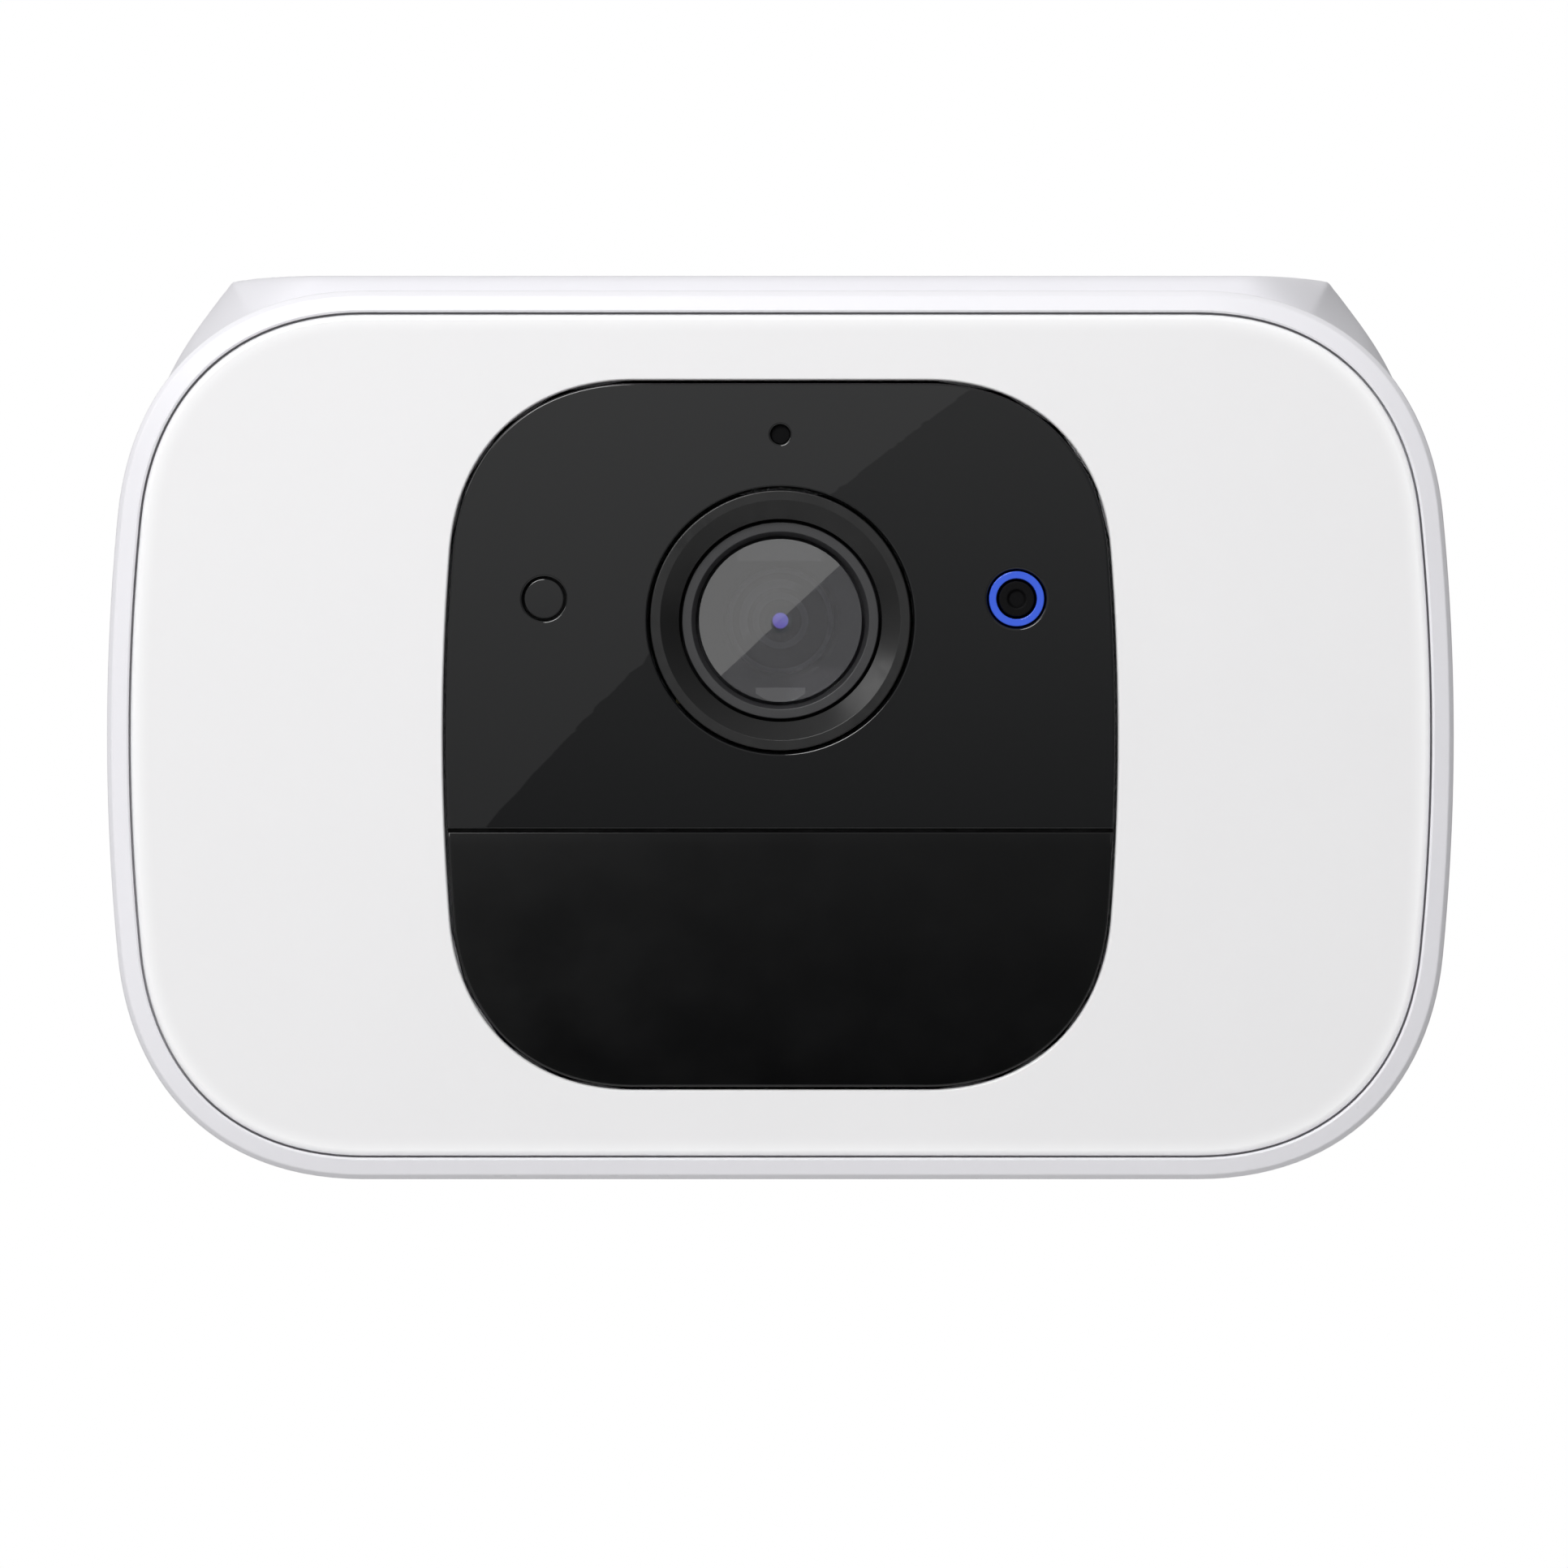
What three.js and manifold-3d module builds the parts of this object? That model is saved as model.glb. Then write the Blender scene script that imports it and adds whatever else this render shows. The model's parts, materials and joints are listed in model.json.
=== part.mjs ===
// A wire-free floodlight security camera with a solar roof, on a ball-jointed wall bracket.
// Millimetres. +Z is up, the lens looks along -Y, and the origin is the centre of the wall
// plate's back face. The camera's own group has its origin at the centre of the front rim, and
// in it y is the depth behind that rim.

import * as THREE from 'three';
import { mergeVertices } from 'three/addons/utils/BufferGeometryUtils.js';
import Module from 'manifold-3d';

const wasm = await Module();
wasm.setup();

// ---------------------------------------------------------------- driving dimensions

const GAP = 0.3;                  // clearance between pieces that touch
const DEPTH = 124;                // front rim to wall
const STUD_DROP = 8;              // the mounting stud's axis below the face's centre
const WALL = 2.2;                 // thickness of the rear housing
const FACE_STEPS = 4;             // straight steps in each curve of a face outline
const TURN_STEPS = 20;            // straight steps round a turned piece

// A face outline: half sizes, the corner's extent along x and z, how far the side bows out
// between the corners, and how full the corner is.
const BEZEL = { x: 67.0, z: 44.2, cornerX: 25.5, cornerZ: 22.2, bow: 1.08, full: 0.58 };
const BLACK_PANEL = { x: 33.3, z: 35.0, cornerX: 18.7, cornerZ: 16.6, bow: 0.73, full: 0.576 };
const BEZEL_DEPTH = 9;
const BEZEL_WIDTH = 2.15;         // rim seen from the front
const SHELF_WIDTH = 4.7;          // rim and the ledge behind the diffuser
const FACE_BACK = 2.8;            // back of the diffuser and of the black windows
const WINDOW_FRONT = 0.2;         // front of both black windows
const WINDOW_SPLIT_Z = -9.5;      // line between the glossy fascia and the satin window
const HALF_SEAM = 0.15;           // half the width of that line

const LENS_Z = 11.4;
const TRIM_RADIUS = 12.95;
const TRIM_RIM = 11.95;
const TRIM_BORE = 10.1;
const RETAINER_RADIUS = 9.8;
const RETAINER_BORE = 8.45;
const GLASS_RADIUS = 8.15;

const INDICATOR_X = 23.5;         // light sensor at -x, status light at +x
const INDICATOR_Z = 13.55;
const MICROPHONE_Z = 29.9;
const MICROPHONE_HOLE = 0.97;     // radius
const LIGHT_SENSOR_HOLE = 2.3;    // radius
const STATUS_LIGHT_HOLE = 3;      // radius

const ROOF_FRONT = 14.5;          // the roof has its full section from here back
const ROOF_BACK = 96;
const ROOF_TOP = 45.9;
const ROOF_CORNER_X = 54.6;
const ROOF_FALL = 3.0;            // drop of the roof towards the wall
const ROOF_TAPER = 0.94;          // width at the back edge over width at the front
const EAVE_UNDERSIDE = 33.5;
const BODY_BACK = 58;
const BODY_BOTTOM = -43.1;
const EAVE_SWEEP = 30;            // radius of the hollow under the eave

const SOLAR_X = 47.5;
const SOLAR_FRONT = 15;
const SOLAR_BACK = 92;
const SOLAR_RECESS = 3.4;

const PAD_RADIUS = 16;
const PAD_BACK = 59.5;
const SCREW_PLACES = [[-48, -32], [48, -32], [-48, -3], [48, -3]];
const PORT = { x: -36, z: -20, width: 14, height: 9, depth: 6 };
const SYNC = { x: 36, z: -20, radius: 4 };
const GRILLE = { slots: 7, pitch: 3, width: 1.4, front: 23, back: 45 };

const BALL_Y = 83.6;
const BALL_RADIUS = 9;
const BALL_SEAT = 9.3;            // inside of the liner and of the collar's lip
const SOCKET_RADIUS = 10.9;       // inside of the bracket's socket
const ARM_RADIUS = 9;
const COLLAR_RADIUS = 16.4;
const PLATE_RADIUS = 26;
const PLATE_FRONT = 116;
const WALL_SCREWS = 3;
const WALL_SCREW_CIRCLE = 18;

// ---------------------------------------------------------------- geometry helpers

const v2 = (x, y) => new THREE.Vector2(x, y);
const radians = THREE.MathUtils.degToRad;

// A closed geometry as a solid, turned the right way out.
function solid(geometry) {
  const bare = geometry.clone();
  bare.deleteAttribute('normal');
  bare.deleteAttribute('uv');
  const merged = mergeVertices(bare, 1e-4);
  const triVerts = new Uint32Array(merged.index.array);
  const vertProperties = new Float32Array(merged.attributes.position.array);
  const made = new wasm.Manifold(new wasm.Mesh({ numProp: 3, vertProperties, triVerts }));
  if (made.volume() > 0) return made;
  for (let i = 0; i < triVerts.length; i += 3) {
    [triVerts[i], triVerts[i + 1]] = [triVerts[i + 1], triVerts[i]];
  }
  return new wasm.Manifold(new wasm.Mesh({ numProp: 3, vertProperties, triVerts }));
}

function geometryOf(made) {
  const mesh = made.getMesh();
  const geometry = new THREE.BufferGeometry();
  geometry.setAttribute('position', new THREE.BufferAttribute(mesh.vertProperties, 3));
  geometry.setIndex(new THREE.BufferAttribute(mesh.triVerts, 1));
  geometry.computeVertexNormals();
  return geometry;
}

const join = (first, ...others) => others.reduce((sum, other) => sum.add(other), first);
const cut = (first, ...others) => others.reduce((rest, other) => rest.subtract(other), first);

// A flat shape in x and z, from depth y0 to depth y1.
function plate(shape, y0, y1, curveSegments = 4) {
  const geometry = new THREE.ExtrudeGeometry(shape, { depth: y1 - y0, bevelEnabled: false, curveSegments });
  geometry.rotateX(Math.PI / 2);
  geometry.translate(0, y1, 0);
  return solid(geometry);
}

function box(x0, x1, y0, y1, z0, z1) {
  const geometry = new THREE.BoxGeometry(x1 - x0, y1 - y0, z1 - z0);
  geometry.translate((x0 + x1) / 2, (y0 + y1) / 2, (z0 + z1) / 2);
  return solid(geometry);
}

// A turned piece: radius and depth pairs, about the line (x, z).
function turned(profile, x = 0, z = 0, segments = TURN_STEPS) {
  const closed = profile[0][0] === 0 ? profile : [...profile, profile[0]];
  const geometry = new THREE.LatheGeometry(closed.map(([r, y]) => v2(r, y)), segments);
  geometry.translate(x, 0, z);
  return solid(geometry);
}

const disc = (radius, y0, y1, x = 0, z = 0, segments = TURN_STEPS) =>
  turned([[0, y0], [radius, y0], [radius, y1], [0, y1]], x, z, segments);

const ring = (bore, radius, y0, y1, x = 0, z = 0, segments = TURN_STEPS) =>
  turned([[bore, y0], [radius, y0], [radius, y1], [bore, y1]], x, z, segments);

// Radius and depth pairs along a circle whose centre is on the axis, by angle from -Y.
function arc(radius, centreY, from, to, steps) {
  return Array.from({ length: steps + 1 }, (_, i) => {
    const angle = radians(from + ((to - from) * i) / steps);
    return [Math.max(0, radius * Math.sin(angle)), centreY - radius * Math.cos(angle)];
  });
}

// The same form moved inwards by a distance, or outwards by a negative one.
function inset(form, by) {
  return {
    ...form,
    x: form.x - by,
    z: form.z - by,
    cornerX: form.cornerX - 0.95 * by,
    cornerZ: form.cornerZ - 0.8 * by,
  };
}

// Control points of the quarter outline from the side's middle to the top: bowed side, corner.
function quarter(form) {
  const sideZ = form.z - form.cornerZ;
  const edgeX = form.x - form.bow;
  const lean = (2 * form.bow) / sideZ;
  return [
    [form.x, 0], [form.x, sideZ / 3], [edgeX + (lean * sideZ) / 3, (sideZ * 2) / 3], [edgeX, sideZ],
    [edgeX - lean * form.full * form.cornerZ, sideZ + form.full * form.cornerZ],
    [form.x - form.cornerX + form.full * form.cornerX, form.z], [form.x - form.cornerX, form.z],
  ];
}

// The rounded rectangle with bowed sides that every face piece shares.
function faceShape(form) {
  const points = quarter(form);
  const shape = new THREE.Shape();
  shape.moveTo(form.x, 0);
  const side = (sx, sz, order) => {
    const p = order.map((i) => [sx * points[i][0], sz * points[i][1]]).flat();
    shape.bezierCurveTo(...p.slice(0, 6));
    shape.bezierCurveTo(...p.slice(6));
  };
  const up = [1, 2, 3, 4, 5, 6];
  const down = [5, 4, 3, 2, 1, 0];
  side(1, 1, up);
  shape.lineTo(-points[6][0], points[6][1]);
  side(-1, 1, down);
  side(-1, -1, up);
  shape.lineTo(points[6][0], -points[6][1]);
  side(1, -1, down);
  return shape;
}

const facePlate = (form, y0, y1) => plate(faceShape(form), y0, y1, FACE_STEPS);

function roundedRectangle(x, z, width, height, radius) {
  const shape = new THREE.Shape();
  const [w, h] = [width / 2, height / 2];
  shape.moveTo(x + w, z - h + radius);
  shape.absarc(x + w - radius, z + h - radius, radius, 0, Math.PI / 2);
  shape.absarc(x - w + radius, z + h - radius, radius, Math.PI / 2, Math.PI);
  shape.absarc(x - w + radius, z - h + radius, radius, Math.PI, Math.PI * 1.5);
  shape.absarc(x + w - radius, z - h + radius, radius, Math.PI * 1.5, Math.PI * 2);
  return shape;
}

const roundedPlate = (x, z, width, height, radius, y0, y1) =>
  plate(roundedRectangle(x, z, width, height, radius), y0, y1, 2);

// A skin through closed rings of equal point count, each ring's points in x and z at one depth.
function loft(rings) {
  const count = rings[0].points.length;
  const positions = rings.flatMap(({ points, y }) => points.flatMap((p) => [p.x, y, p.y]));
  const index = [];
  for (let k = 0; k < rings.length - 1; k += 1) {
    for (let i = 0; i < count; i += 1) {
      const [a, b] = [k * count + i, k * count + ((i + 1) % count)];
      index.push(a, b, a + count, b, b + count, a + count);
    }
  }
  const last = (rings.length - 1) * count;
  THREE.ShapeUtils.triangulateShape(rings[0].points, []).forEach(([a, b, c]) => index.push(a, c, b));
  THREE.ShapeUtils.triangulateShape(rings.at(-1).points, []).forEach(([a, b, c]) => {
    index.push(last + a, last + b, last + c);
  });
  const geometry = new THREE.BufferGeometry();
  geometry.setAttribute('position', new THREE.Float32BufferAttribute(positions, 3));
  geometry.setIndex(index);
  return solid(geometry);
}

// A profile in depth y and height z, drawn across the whole width from x0 to x1.
function across(shape, x0, x1) {
  const options = { depth: x1 - x0, bevelEnabled: false, curveSegments: 10 };
  const geometry = new THREE.ExtrudeGeometry(shape, options);
  geometry.applyMatrix4(new THREE.Matrix4().set(0, 0, 1, x0, 1, 0, 0, 0, 0, 1, 0, 0, 0, 0, 0, 1));
  return solid(geometry);
}

// A ring or disc with ridges round it, for the fingers.
function knurled(bore, radius, ridge, ridges, y0, y1) {
  const shape = new THREE.Shape(
    Array.from({ length: ridges * 4 }, (_, i) => {
      const angle = (i * Math.PI) / (ridges * 2);
      const r = i % 4 < 2 ? radius : radius - ridge;
      return v2(r * Math.cos(angle), r * Math.sin(angle));
    }),
  );
  return cut(plate(shape, y0, y1), disc(bore, y0 - 1, y1 + 1));
}

// A cross recess for a screwdriver, about the line (x, z).
const crossRecess = (x, z, halfLength, halfWidth, y0, y1) =>
  join(
    box(x - halfLength, x + halfLength, y0, y1, z - halfWidth, z + halfWidth),
    box(x - halfWidth, x + halfWidth, y0, y1, z - halfLength, z + halfLength),
  );

// ---------------------------------------------------------------- finishes and assembly

const finish = (color, roughness, metalness = 0) => ({ color, roughness, metalness });
const WHITE = finish(0xf0eff3, 0.42);
const DIFFUSER = finish(0xf1eff1, 0.12);
const BLACK_GLOSS = finish(0x1c1d1f, 0.06);
const BLACK_SATIN = finish(0x151517, 0.35);
const BLACK_MATT = finish(0x1e1e20, 0.6);
const GLASS = finish(0x3a3a40, 0.03);
const BLUE_LIGHT = finish(0x3c5eda, 0.2);
const RUBBER_BLACK = finish(0x202022, 0.8);
const RUBBER_WHITE = finish(0xdcdbdf, 0.7);
const BOARD = finish(0x1d4a35, 0.45);
const BOARD_WHITE = finish(0xe9e9e6, 0.5);
const ALUMINIUM = finish(0xb8bbc0, 0.35, 1);
const STEEL = finish(0xa9abb0, 0.3, 1);
const BRASS = finish(0xb8934a, 0.35, 1);
const CELL_WRAP = finish(0x2f6fae, 0.35);
const SOLAR_GLASS = finish(0x10131c, 0.08);
const SENSOR_CAN = finish(0xc9c4b4, 0.3, 1);

const camera = new THREE.Group();
camera.position.set(0, -DEPTH, STUD_DROP);
const bracket = new THREE.Group();
bracket.position.set(0, -DEPTH, 0);

function piece(group, name, made, look) {
  const mesh = new THREE.Mesh(geometryOf(made), new THREE.MeshStandardMaterial(look));
  mesh.name = name;
  group.add(mesh);
}

// ---------------------------------------------------------------- front face

function bezelRing() {
  const rings = [[0, 0.9], [0.3, 0.35], [1, 0], [BEZEL_DEPTH, 0]].map(([y, by]) => ({
    y,
    points: faceShape(inset(BEZEL, by)).getPoints(FACE_STEPS).slice(0, -1),
  }));
  return cut(
    loft(rings),
    facePlate(inset(BEZEL, BEZEL_WIDTH), -1, FACE_BACK + GAP),
    facePlate(inset(BEZEL, SHELF_WIDTH), -1, BEZEL_DEPTH + 1),
    facePlate(inset(BEZEL, 2), FACE_BACK + GAP + 1.5, BEZEL_DEPTH + 1),
  );
}

const faceSeal = () =>
  cut(facePlate(inset(BEZEL, 2.35), 4.9, 6.4), facePlate(inset(BEZEL, 4.6), 4, 7));

const lightDiffuser = () =>
  cut(
    facePlate(inset(BEZEL, BEZEL_WIDTH + 0.4), WINDOW_FRONT + 0.1, FACE_BACK),
    facePlate(inset(BLACK_PANEL, -0.25), -1, FACE_BACK + 1),
  );

const lensFascia = () =>
  cut(
    facePlate(BLACK_PANEL, WINDOW_FRONT, FACE_BACK),
    box(-40, 40, -1, 4, -40, WINDOW_SPLIT_Z + HALF_SEAM),
    disc(TRIM_RADIUS + GAP, -1, 4, 0, LENS_Z, 32),
    disc(MICROPHONE_HOLE, -1, 4, 0, MICROPHONE_Z, 10),
    disc(LIGHT_SENSOR_HOLE, -1, 4, -INDICATOR_X, INDICATOR_Z, 16),
    disc(STATUS_LIGHT_HOLE, -1, 4, INDICATOR_X, INDICATOR_Z, 16),
  );

const sensorWindow = () =>
  cut(
    facePlate(BLACK_PANEL, WINDOW_FRONT, FACE_BACK),
    box(-40, 40, -1, 4, WINDOW_SPLIT_Z - HALF_SEAM, 40),
  );

const moduleCarrier = () =>
  cut(
    facePlate(BLACK_PANEL, FACE_BACK + GAP, 9),
    facePlate(inset(BLACK_PANEL, 1.5), 4.6, 10),
    disc(TRIM_RADIUS + GAP, 3, 5, 0, LENS_Z, 32),
    disc(1.2, 3, 5, 0, MICROPHONE_Z, 10),
    disc(1.5, 3, 5, -INDICATOR_X, INDICATOR_Z, 10),
    disc(STATUS_LIGHT_HOLE, 3, 5, INDICATOR_X, INDICATOR_Z, 16),
    roundedPlate(0, -22.5, 54, 17, 4, 3, 5),
  );

function lensPieces() {
  const trim = [
    [TRIM_RADIUS, 6], [TRIM_RADIUS, -0.1], [TRIM_RADIUS - 0.1, -0.2], [TRIM_RIM, -0.2],
    [TRIM_BORE, 2], [TRIM_BORE, 6],
  ];
  piece(camera, 'lens_trim_ring', turned(trim, 0, LENS_Z, 32), BLACK_GLOSS);
  const retainer = ring(RETAINER_BORE, RETAINER_RADIUS, 2.1, 4.5, 0, LENS_Z, 32);
  piece(camera, 'lens_retainer_ring', retainer, finish(0x404042, 0.4));
  const glass = [[0, 1.5], [3, 1.65], [6, 2.1], [GLASS_RADIUS, 2.6], [GLASS_RADIUS, 4.4], [0, 4.4]];
  piece(camera, 'lens_cover_glass', turned(glass, 0, LENS_Z, 32), GLASS);
  const barrel = [
    [7.9, 4.9], [9.7, 4.9], [9.7, 6.4], [12.6, 6.4], [12.6, 8], [9.6, 8], [9.6, 16.5],
    [4, 16.5], [4, 11], [5.4, 11], [5.4, 7.4],
  ];
  piece(camera, 'lens_barrel', turned(barrel, 0, LENS_Z, 24), BLACK_MATT);
  const element = [[0, 6.6], [2.5, 6.9], [4.9, 8], [4.9, 10.4], [0, 10.4]];
  piece(camera, 'front_lens_element', turned(element, 0, LENS_Z), GLASS);
  const sensorBoard = join(
    box(-11, 11, 17.2, 18.4, LENS_Z - 11, LENS_Z + 11),
    box(-3.6, 3.6, 16.8, 17.3, LENS_Z - 2.6, LENS_Z + 2.6),
  );
  piece(camera, 'image_sensor_board', sensorBoard, BOARD);
}

function indicators() {
  const [x, z] = [INDICATOR_X, INDICATOR_Z];
  piece(camera, 'status_light_ring', ring(2.05, 2.7, 0.3, 5.2, x, z, 16), BLUE_LIGHT);
  const core = [[0, 0.3], [1.7, 0.3], [1.7, 5.5], [4, 5.5], [4, 6.5], [0, 6.5]];
  piece(camera, 'status_light_core', turned(core, x, z, 16), BLACK_GLOSS);
  piece(camera, 'light_sensor_window', disc(1.95, 0.3, FACE_BACK, -x, z, 16), BLACK_GLOSS);
  piece(camera, 'light_sensor', box(-x - 1.6, -x + 1.6, 5, 6.4, z - 1.1, z + 1.1), BLACK_MATT);
  const [can, port] = [disc(3, 4.9, 7.2, 0, MICROPHONE_Z, 16), disc(0.6, 4, 6, 0, MICROPHONE_Z, 8)];
  const microphone = cut(can, port);
  piece(camera, 'microphone', microphone, ALUMINIUM);
}

function motionSensing() {
  const [z, ledZ, canRadius] = [-19.5, -28, 4.6];
  const can = [
    [0, 7.5], [canRadius - 0.5, 7.5], [canRadius, 8], [canRadius, 11], [canRadius + 0.6, 11],
    [canRadius + 0.6, 11.7], [0, 11.7],
  ];
  piece(camera, 'motion_sensor', turned(can, 0, z, 20), SENSOR_CAN);
  piece(camera, 'motion_sensor_board', roundedPlate(0, z, 24, 11, 1, 12, 13.2), BOARD);
  const board = join(
    roundedPlate(0, ledZ, 44, 4.6, 1, 8.6, 9.8),
    ...[-18, -6, 6, 18].map((x) =>
      turned([[0, 5.6], [1.4, 6.2], [1.9, 7.2], [1.9, 8.7], [0, 8.7]], x, ledZ, 10)),
  );
  piece(camera, 'infrared_led_board', board, BOARD);
}

// ---------------------------------------------------------------- floodlight behind the diffuser

function reflectorTray() {
  const floor = 12.5;
  const tunnel = facePlate(inset(BLACK_PANEL, -1.9), 2, floor);
  const dish = cut(facePlate(inset(BEZEL, 6.5), 2, floor), tunnel);
  return cut(
    facePlate(inset(BEZEL, SHELF_WIDTH + 0.32), FACE_BACK + GAP, floor + 1.5),
    dish,
    facePlate(inset(BLACK_PANEL, -0.4), 2, floor + 2.5),
  );
}

function ledBoard(side) {
  const half = 1.75;
  const chips = [];
  for (const column of [43, 52]) {
    for (let row = -2; row <= 2; row += 1) {
      const [x, z] = [side * column, row * 11];
      chips.push(box(x - half, x + half, 10.2, 11.1, z - half, z + half));
    }
  }
  return join(roundedPlate(side * 47.5, 0, 19, 54, 1.5, 11, 12.2), ...chips);
}

const heatSpreader = () =>
  cut(roundedPlate(0, 0, 114, 58, 6, 14.4, 15.9), roundedPlate(0, -2, 32, 52, 3, 14, 17));

// ---------------------------------------------------------------- rear housing

// Closed outline of the housing behind the rim: the face outline below, and above it the
// flanks that rise to the roof's sharp shoulders.
function roofSection(by, widthScale, fall) {
  const form = inset(BEZEL, 1.2 + by);
  const [sideX, sideZ] = quarter(form)[3];
  const shoulder = v2(ROOF_CORNER_X - by, ROOF_TOP - 0.75 - by);
  const flank = new THREE.CubicBezierCurve(
    v2(sideX, sideZ), v2(sideX - 1.2, sideZ + 12), v2(shoulder.x + 5.1, shoulder.y - 6.3), shoulder,
  ).getPoints(FACE_STEPS);
  const lower = faceShape(form).getPoints(FACE_STEPS).filter((p) => p.x >= 0 && p.y < sideZ - 0.01);
  lower.sort((a, b) => a.y - b.y || (a.y < 0 ? a.x - b.x : b.x - a.x));
  const top = [v2(shoulder.x - 1.3, ROOF_TOP - 0.25 - by), v2(46.8 - by, ROOF_TOP - by)];
  const half = [...lower, ...flank, ...top].map((p) =>
    v2(p.x * widthScale, p.y > 0 ? p.y - (fall * p.y) / ROOF_TOP : p.y));
  return [...half, ...half.map((p) => v2(-p.x, p.y)).reverse()];
}

// The ring of a face outline with one point in each direction that the section has.
function towards(section, form) {
  const curve = faceShape(form).getPoints(40);
  const crossing = (a, b, d) => {
    const along = a.cross(d) / (a.cross(d) - b.cross(d));
    return a.clone().lerp(b, along);
  };
  return section.map((direction) => {
    const i = curve.findIndex((a, k) => {
      const b = curve[(k + 1) % curve.length];
      return a.cross(direction) * b.cross(direction) <= 0 && a.dot(direction) > 0 && a.distanceTo(b) > 1e-6;
    });
    return crossing(curve[i], curve[(i + 1) % curve.length], direction);
  });
}

// The housing's outer form moved inwards by a distance; the roof is moved by its own distance.
function housingForm(by, roofBy, front) {
  const full = roofSection(by, 1, 0);
  const start = towards(full, inset(BEZEL, 0.9 + by));
  const middle = start.map((p, i) => p.clone().lerp(full[i], 0.7));
  const skin = loft([
    { points: start, y: front },
    { points: start, y: BEZEL_DEPTH + GAP + 0.2 + by * 0.1 },
    { points: middle, y: 11 },
    { points: full, y: ROOF_FRONT },
    { points: roofSection(by, ROOF_TAPER, ROOF_FALL), y: ROOF_BACK + 4 },
  ]);
  const [back, bottom] = [BODY_BACK - by, BODY_BOTTOM + by];
  const side = new THREE.Shape();
  side.moveTo(front - 1, bottom - 4);
  side.lineTo(front - 1, EAVE_UNDERSIDE + 4);
  side.lineTo(back, EAVE_UNDERSIDE + 4);
  side.lineTo(back, bottom + 7);
  side.bezierCurveTo(back, bottom + 3, back - 3, bottom, back - 8, bottom);
  side.lineTo(front + 1, bottom - 0.4);
  const plan = new THREE.Shape();
  const [halfWidth, round] = [66 - by, 13];
  plan.moveTo(-halfWidth, -60);
  plan.lineTo(-halfWidth, back - round);
  plan.quadraticCurveTo(-halfWidth, back, -halfWidth + round, back);
  plan.lineTo(halfWidth - round, back);
  plan.quadraticCurveTo(halfWidth, back, halfWidth, back - round);
  plan.lineTo(halfWidth, -60);
  const upright = { depth: 100, bevelEnabled: false, curveSegments: 6 };
  const planGeometry = new THREE.ExtrudeGeometry(plan, upright);
  planGeometry.translate(0, 0, -50);
  const body = across(side, -80, 80).intersect(solid(planGeometry));
  const eave = new THREE.Shape();
  const top = ROOF_TOP - roofBy;
  const under = EAVE_UNDERSIDE + by;
  const edge = Math.min(3, (top - ROOF_FALL - under) * 0.45);
  const end = ROOF_BACK - by;
  eave.moveTo(front - 1, top);
  eave.lineTo(ROOF_FRONT, top);
  eave.lineTo(end - edge, top - ROOF_FALL);
  eave.quadraticCurveTo(end, top - ROOF_FALL, end, top - ROOF_FALL - edge);
  eave.lineTo(end, under + edge);
  eave.quadraticCurveTo(end, under, end - edge, under);
  eave.lineTo(front - 1, under);
  const sweep = new THREE.Shape();
  const centreY = BODY_BACK + EAVE_SWEEP;
  sweep.moveTo(centreY - 0.02, under + 1);
  sweep.absarc(centreY, EAVE_UNDERSIDE - EAVE_SWEEP, EAVE_SWEEP + by, Math.PI / 2, Math.PI, false);
  sweep.lineTo(back - 12, EAVE_UNDERSIDE - EAVE_SWEEP);
  sweep.lineTo(back - 12, under + 1);
  const blocks = join(body, across(eave, -80, 80), across(sweep, -46 + by, 46 - by));
  return skin.intersect(blocks);
}

// The roof's recess and what lies in it fall with the roof.
const roofAngle = Math.atan(ROOF_FALL / (ROOF_BACK - ROOF_FRONT));
function onRoof(inFrom, top, bottom) {
  const [width, length] = [2 * (SOLAR_X - inFrom), SOLAR_BACK - SOLAR_FRONT - 2 * inFrom];
  const geometry = new THREE.BoxGeometry(width, length, top - bottom);
  geometry.translate(0, 0, (top + bottom) / 2);
  geometry.rotateX(-roofAngle);
  const middle = (SOLAR_FRONT + SOLAR_BACK) / 2;
  geometry.translate(0, middle, ROOF_TOP - (middle - ROOF_FRONT) * Math.tan(roofAngle));
  return solid(geometry);
}

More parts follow.
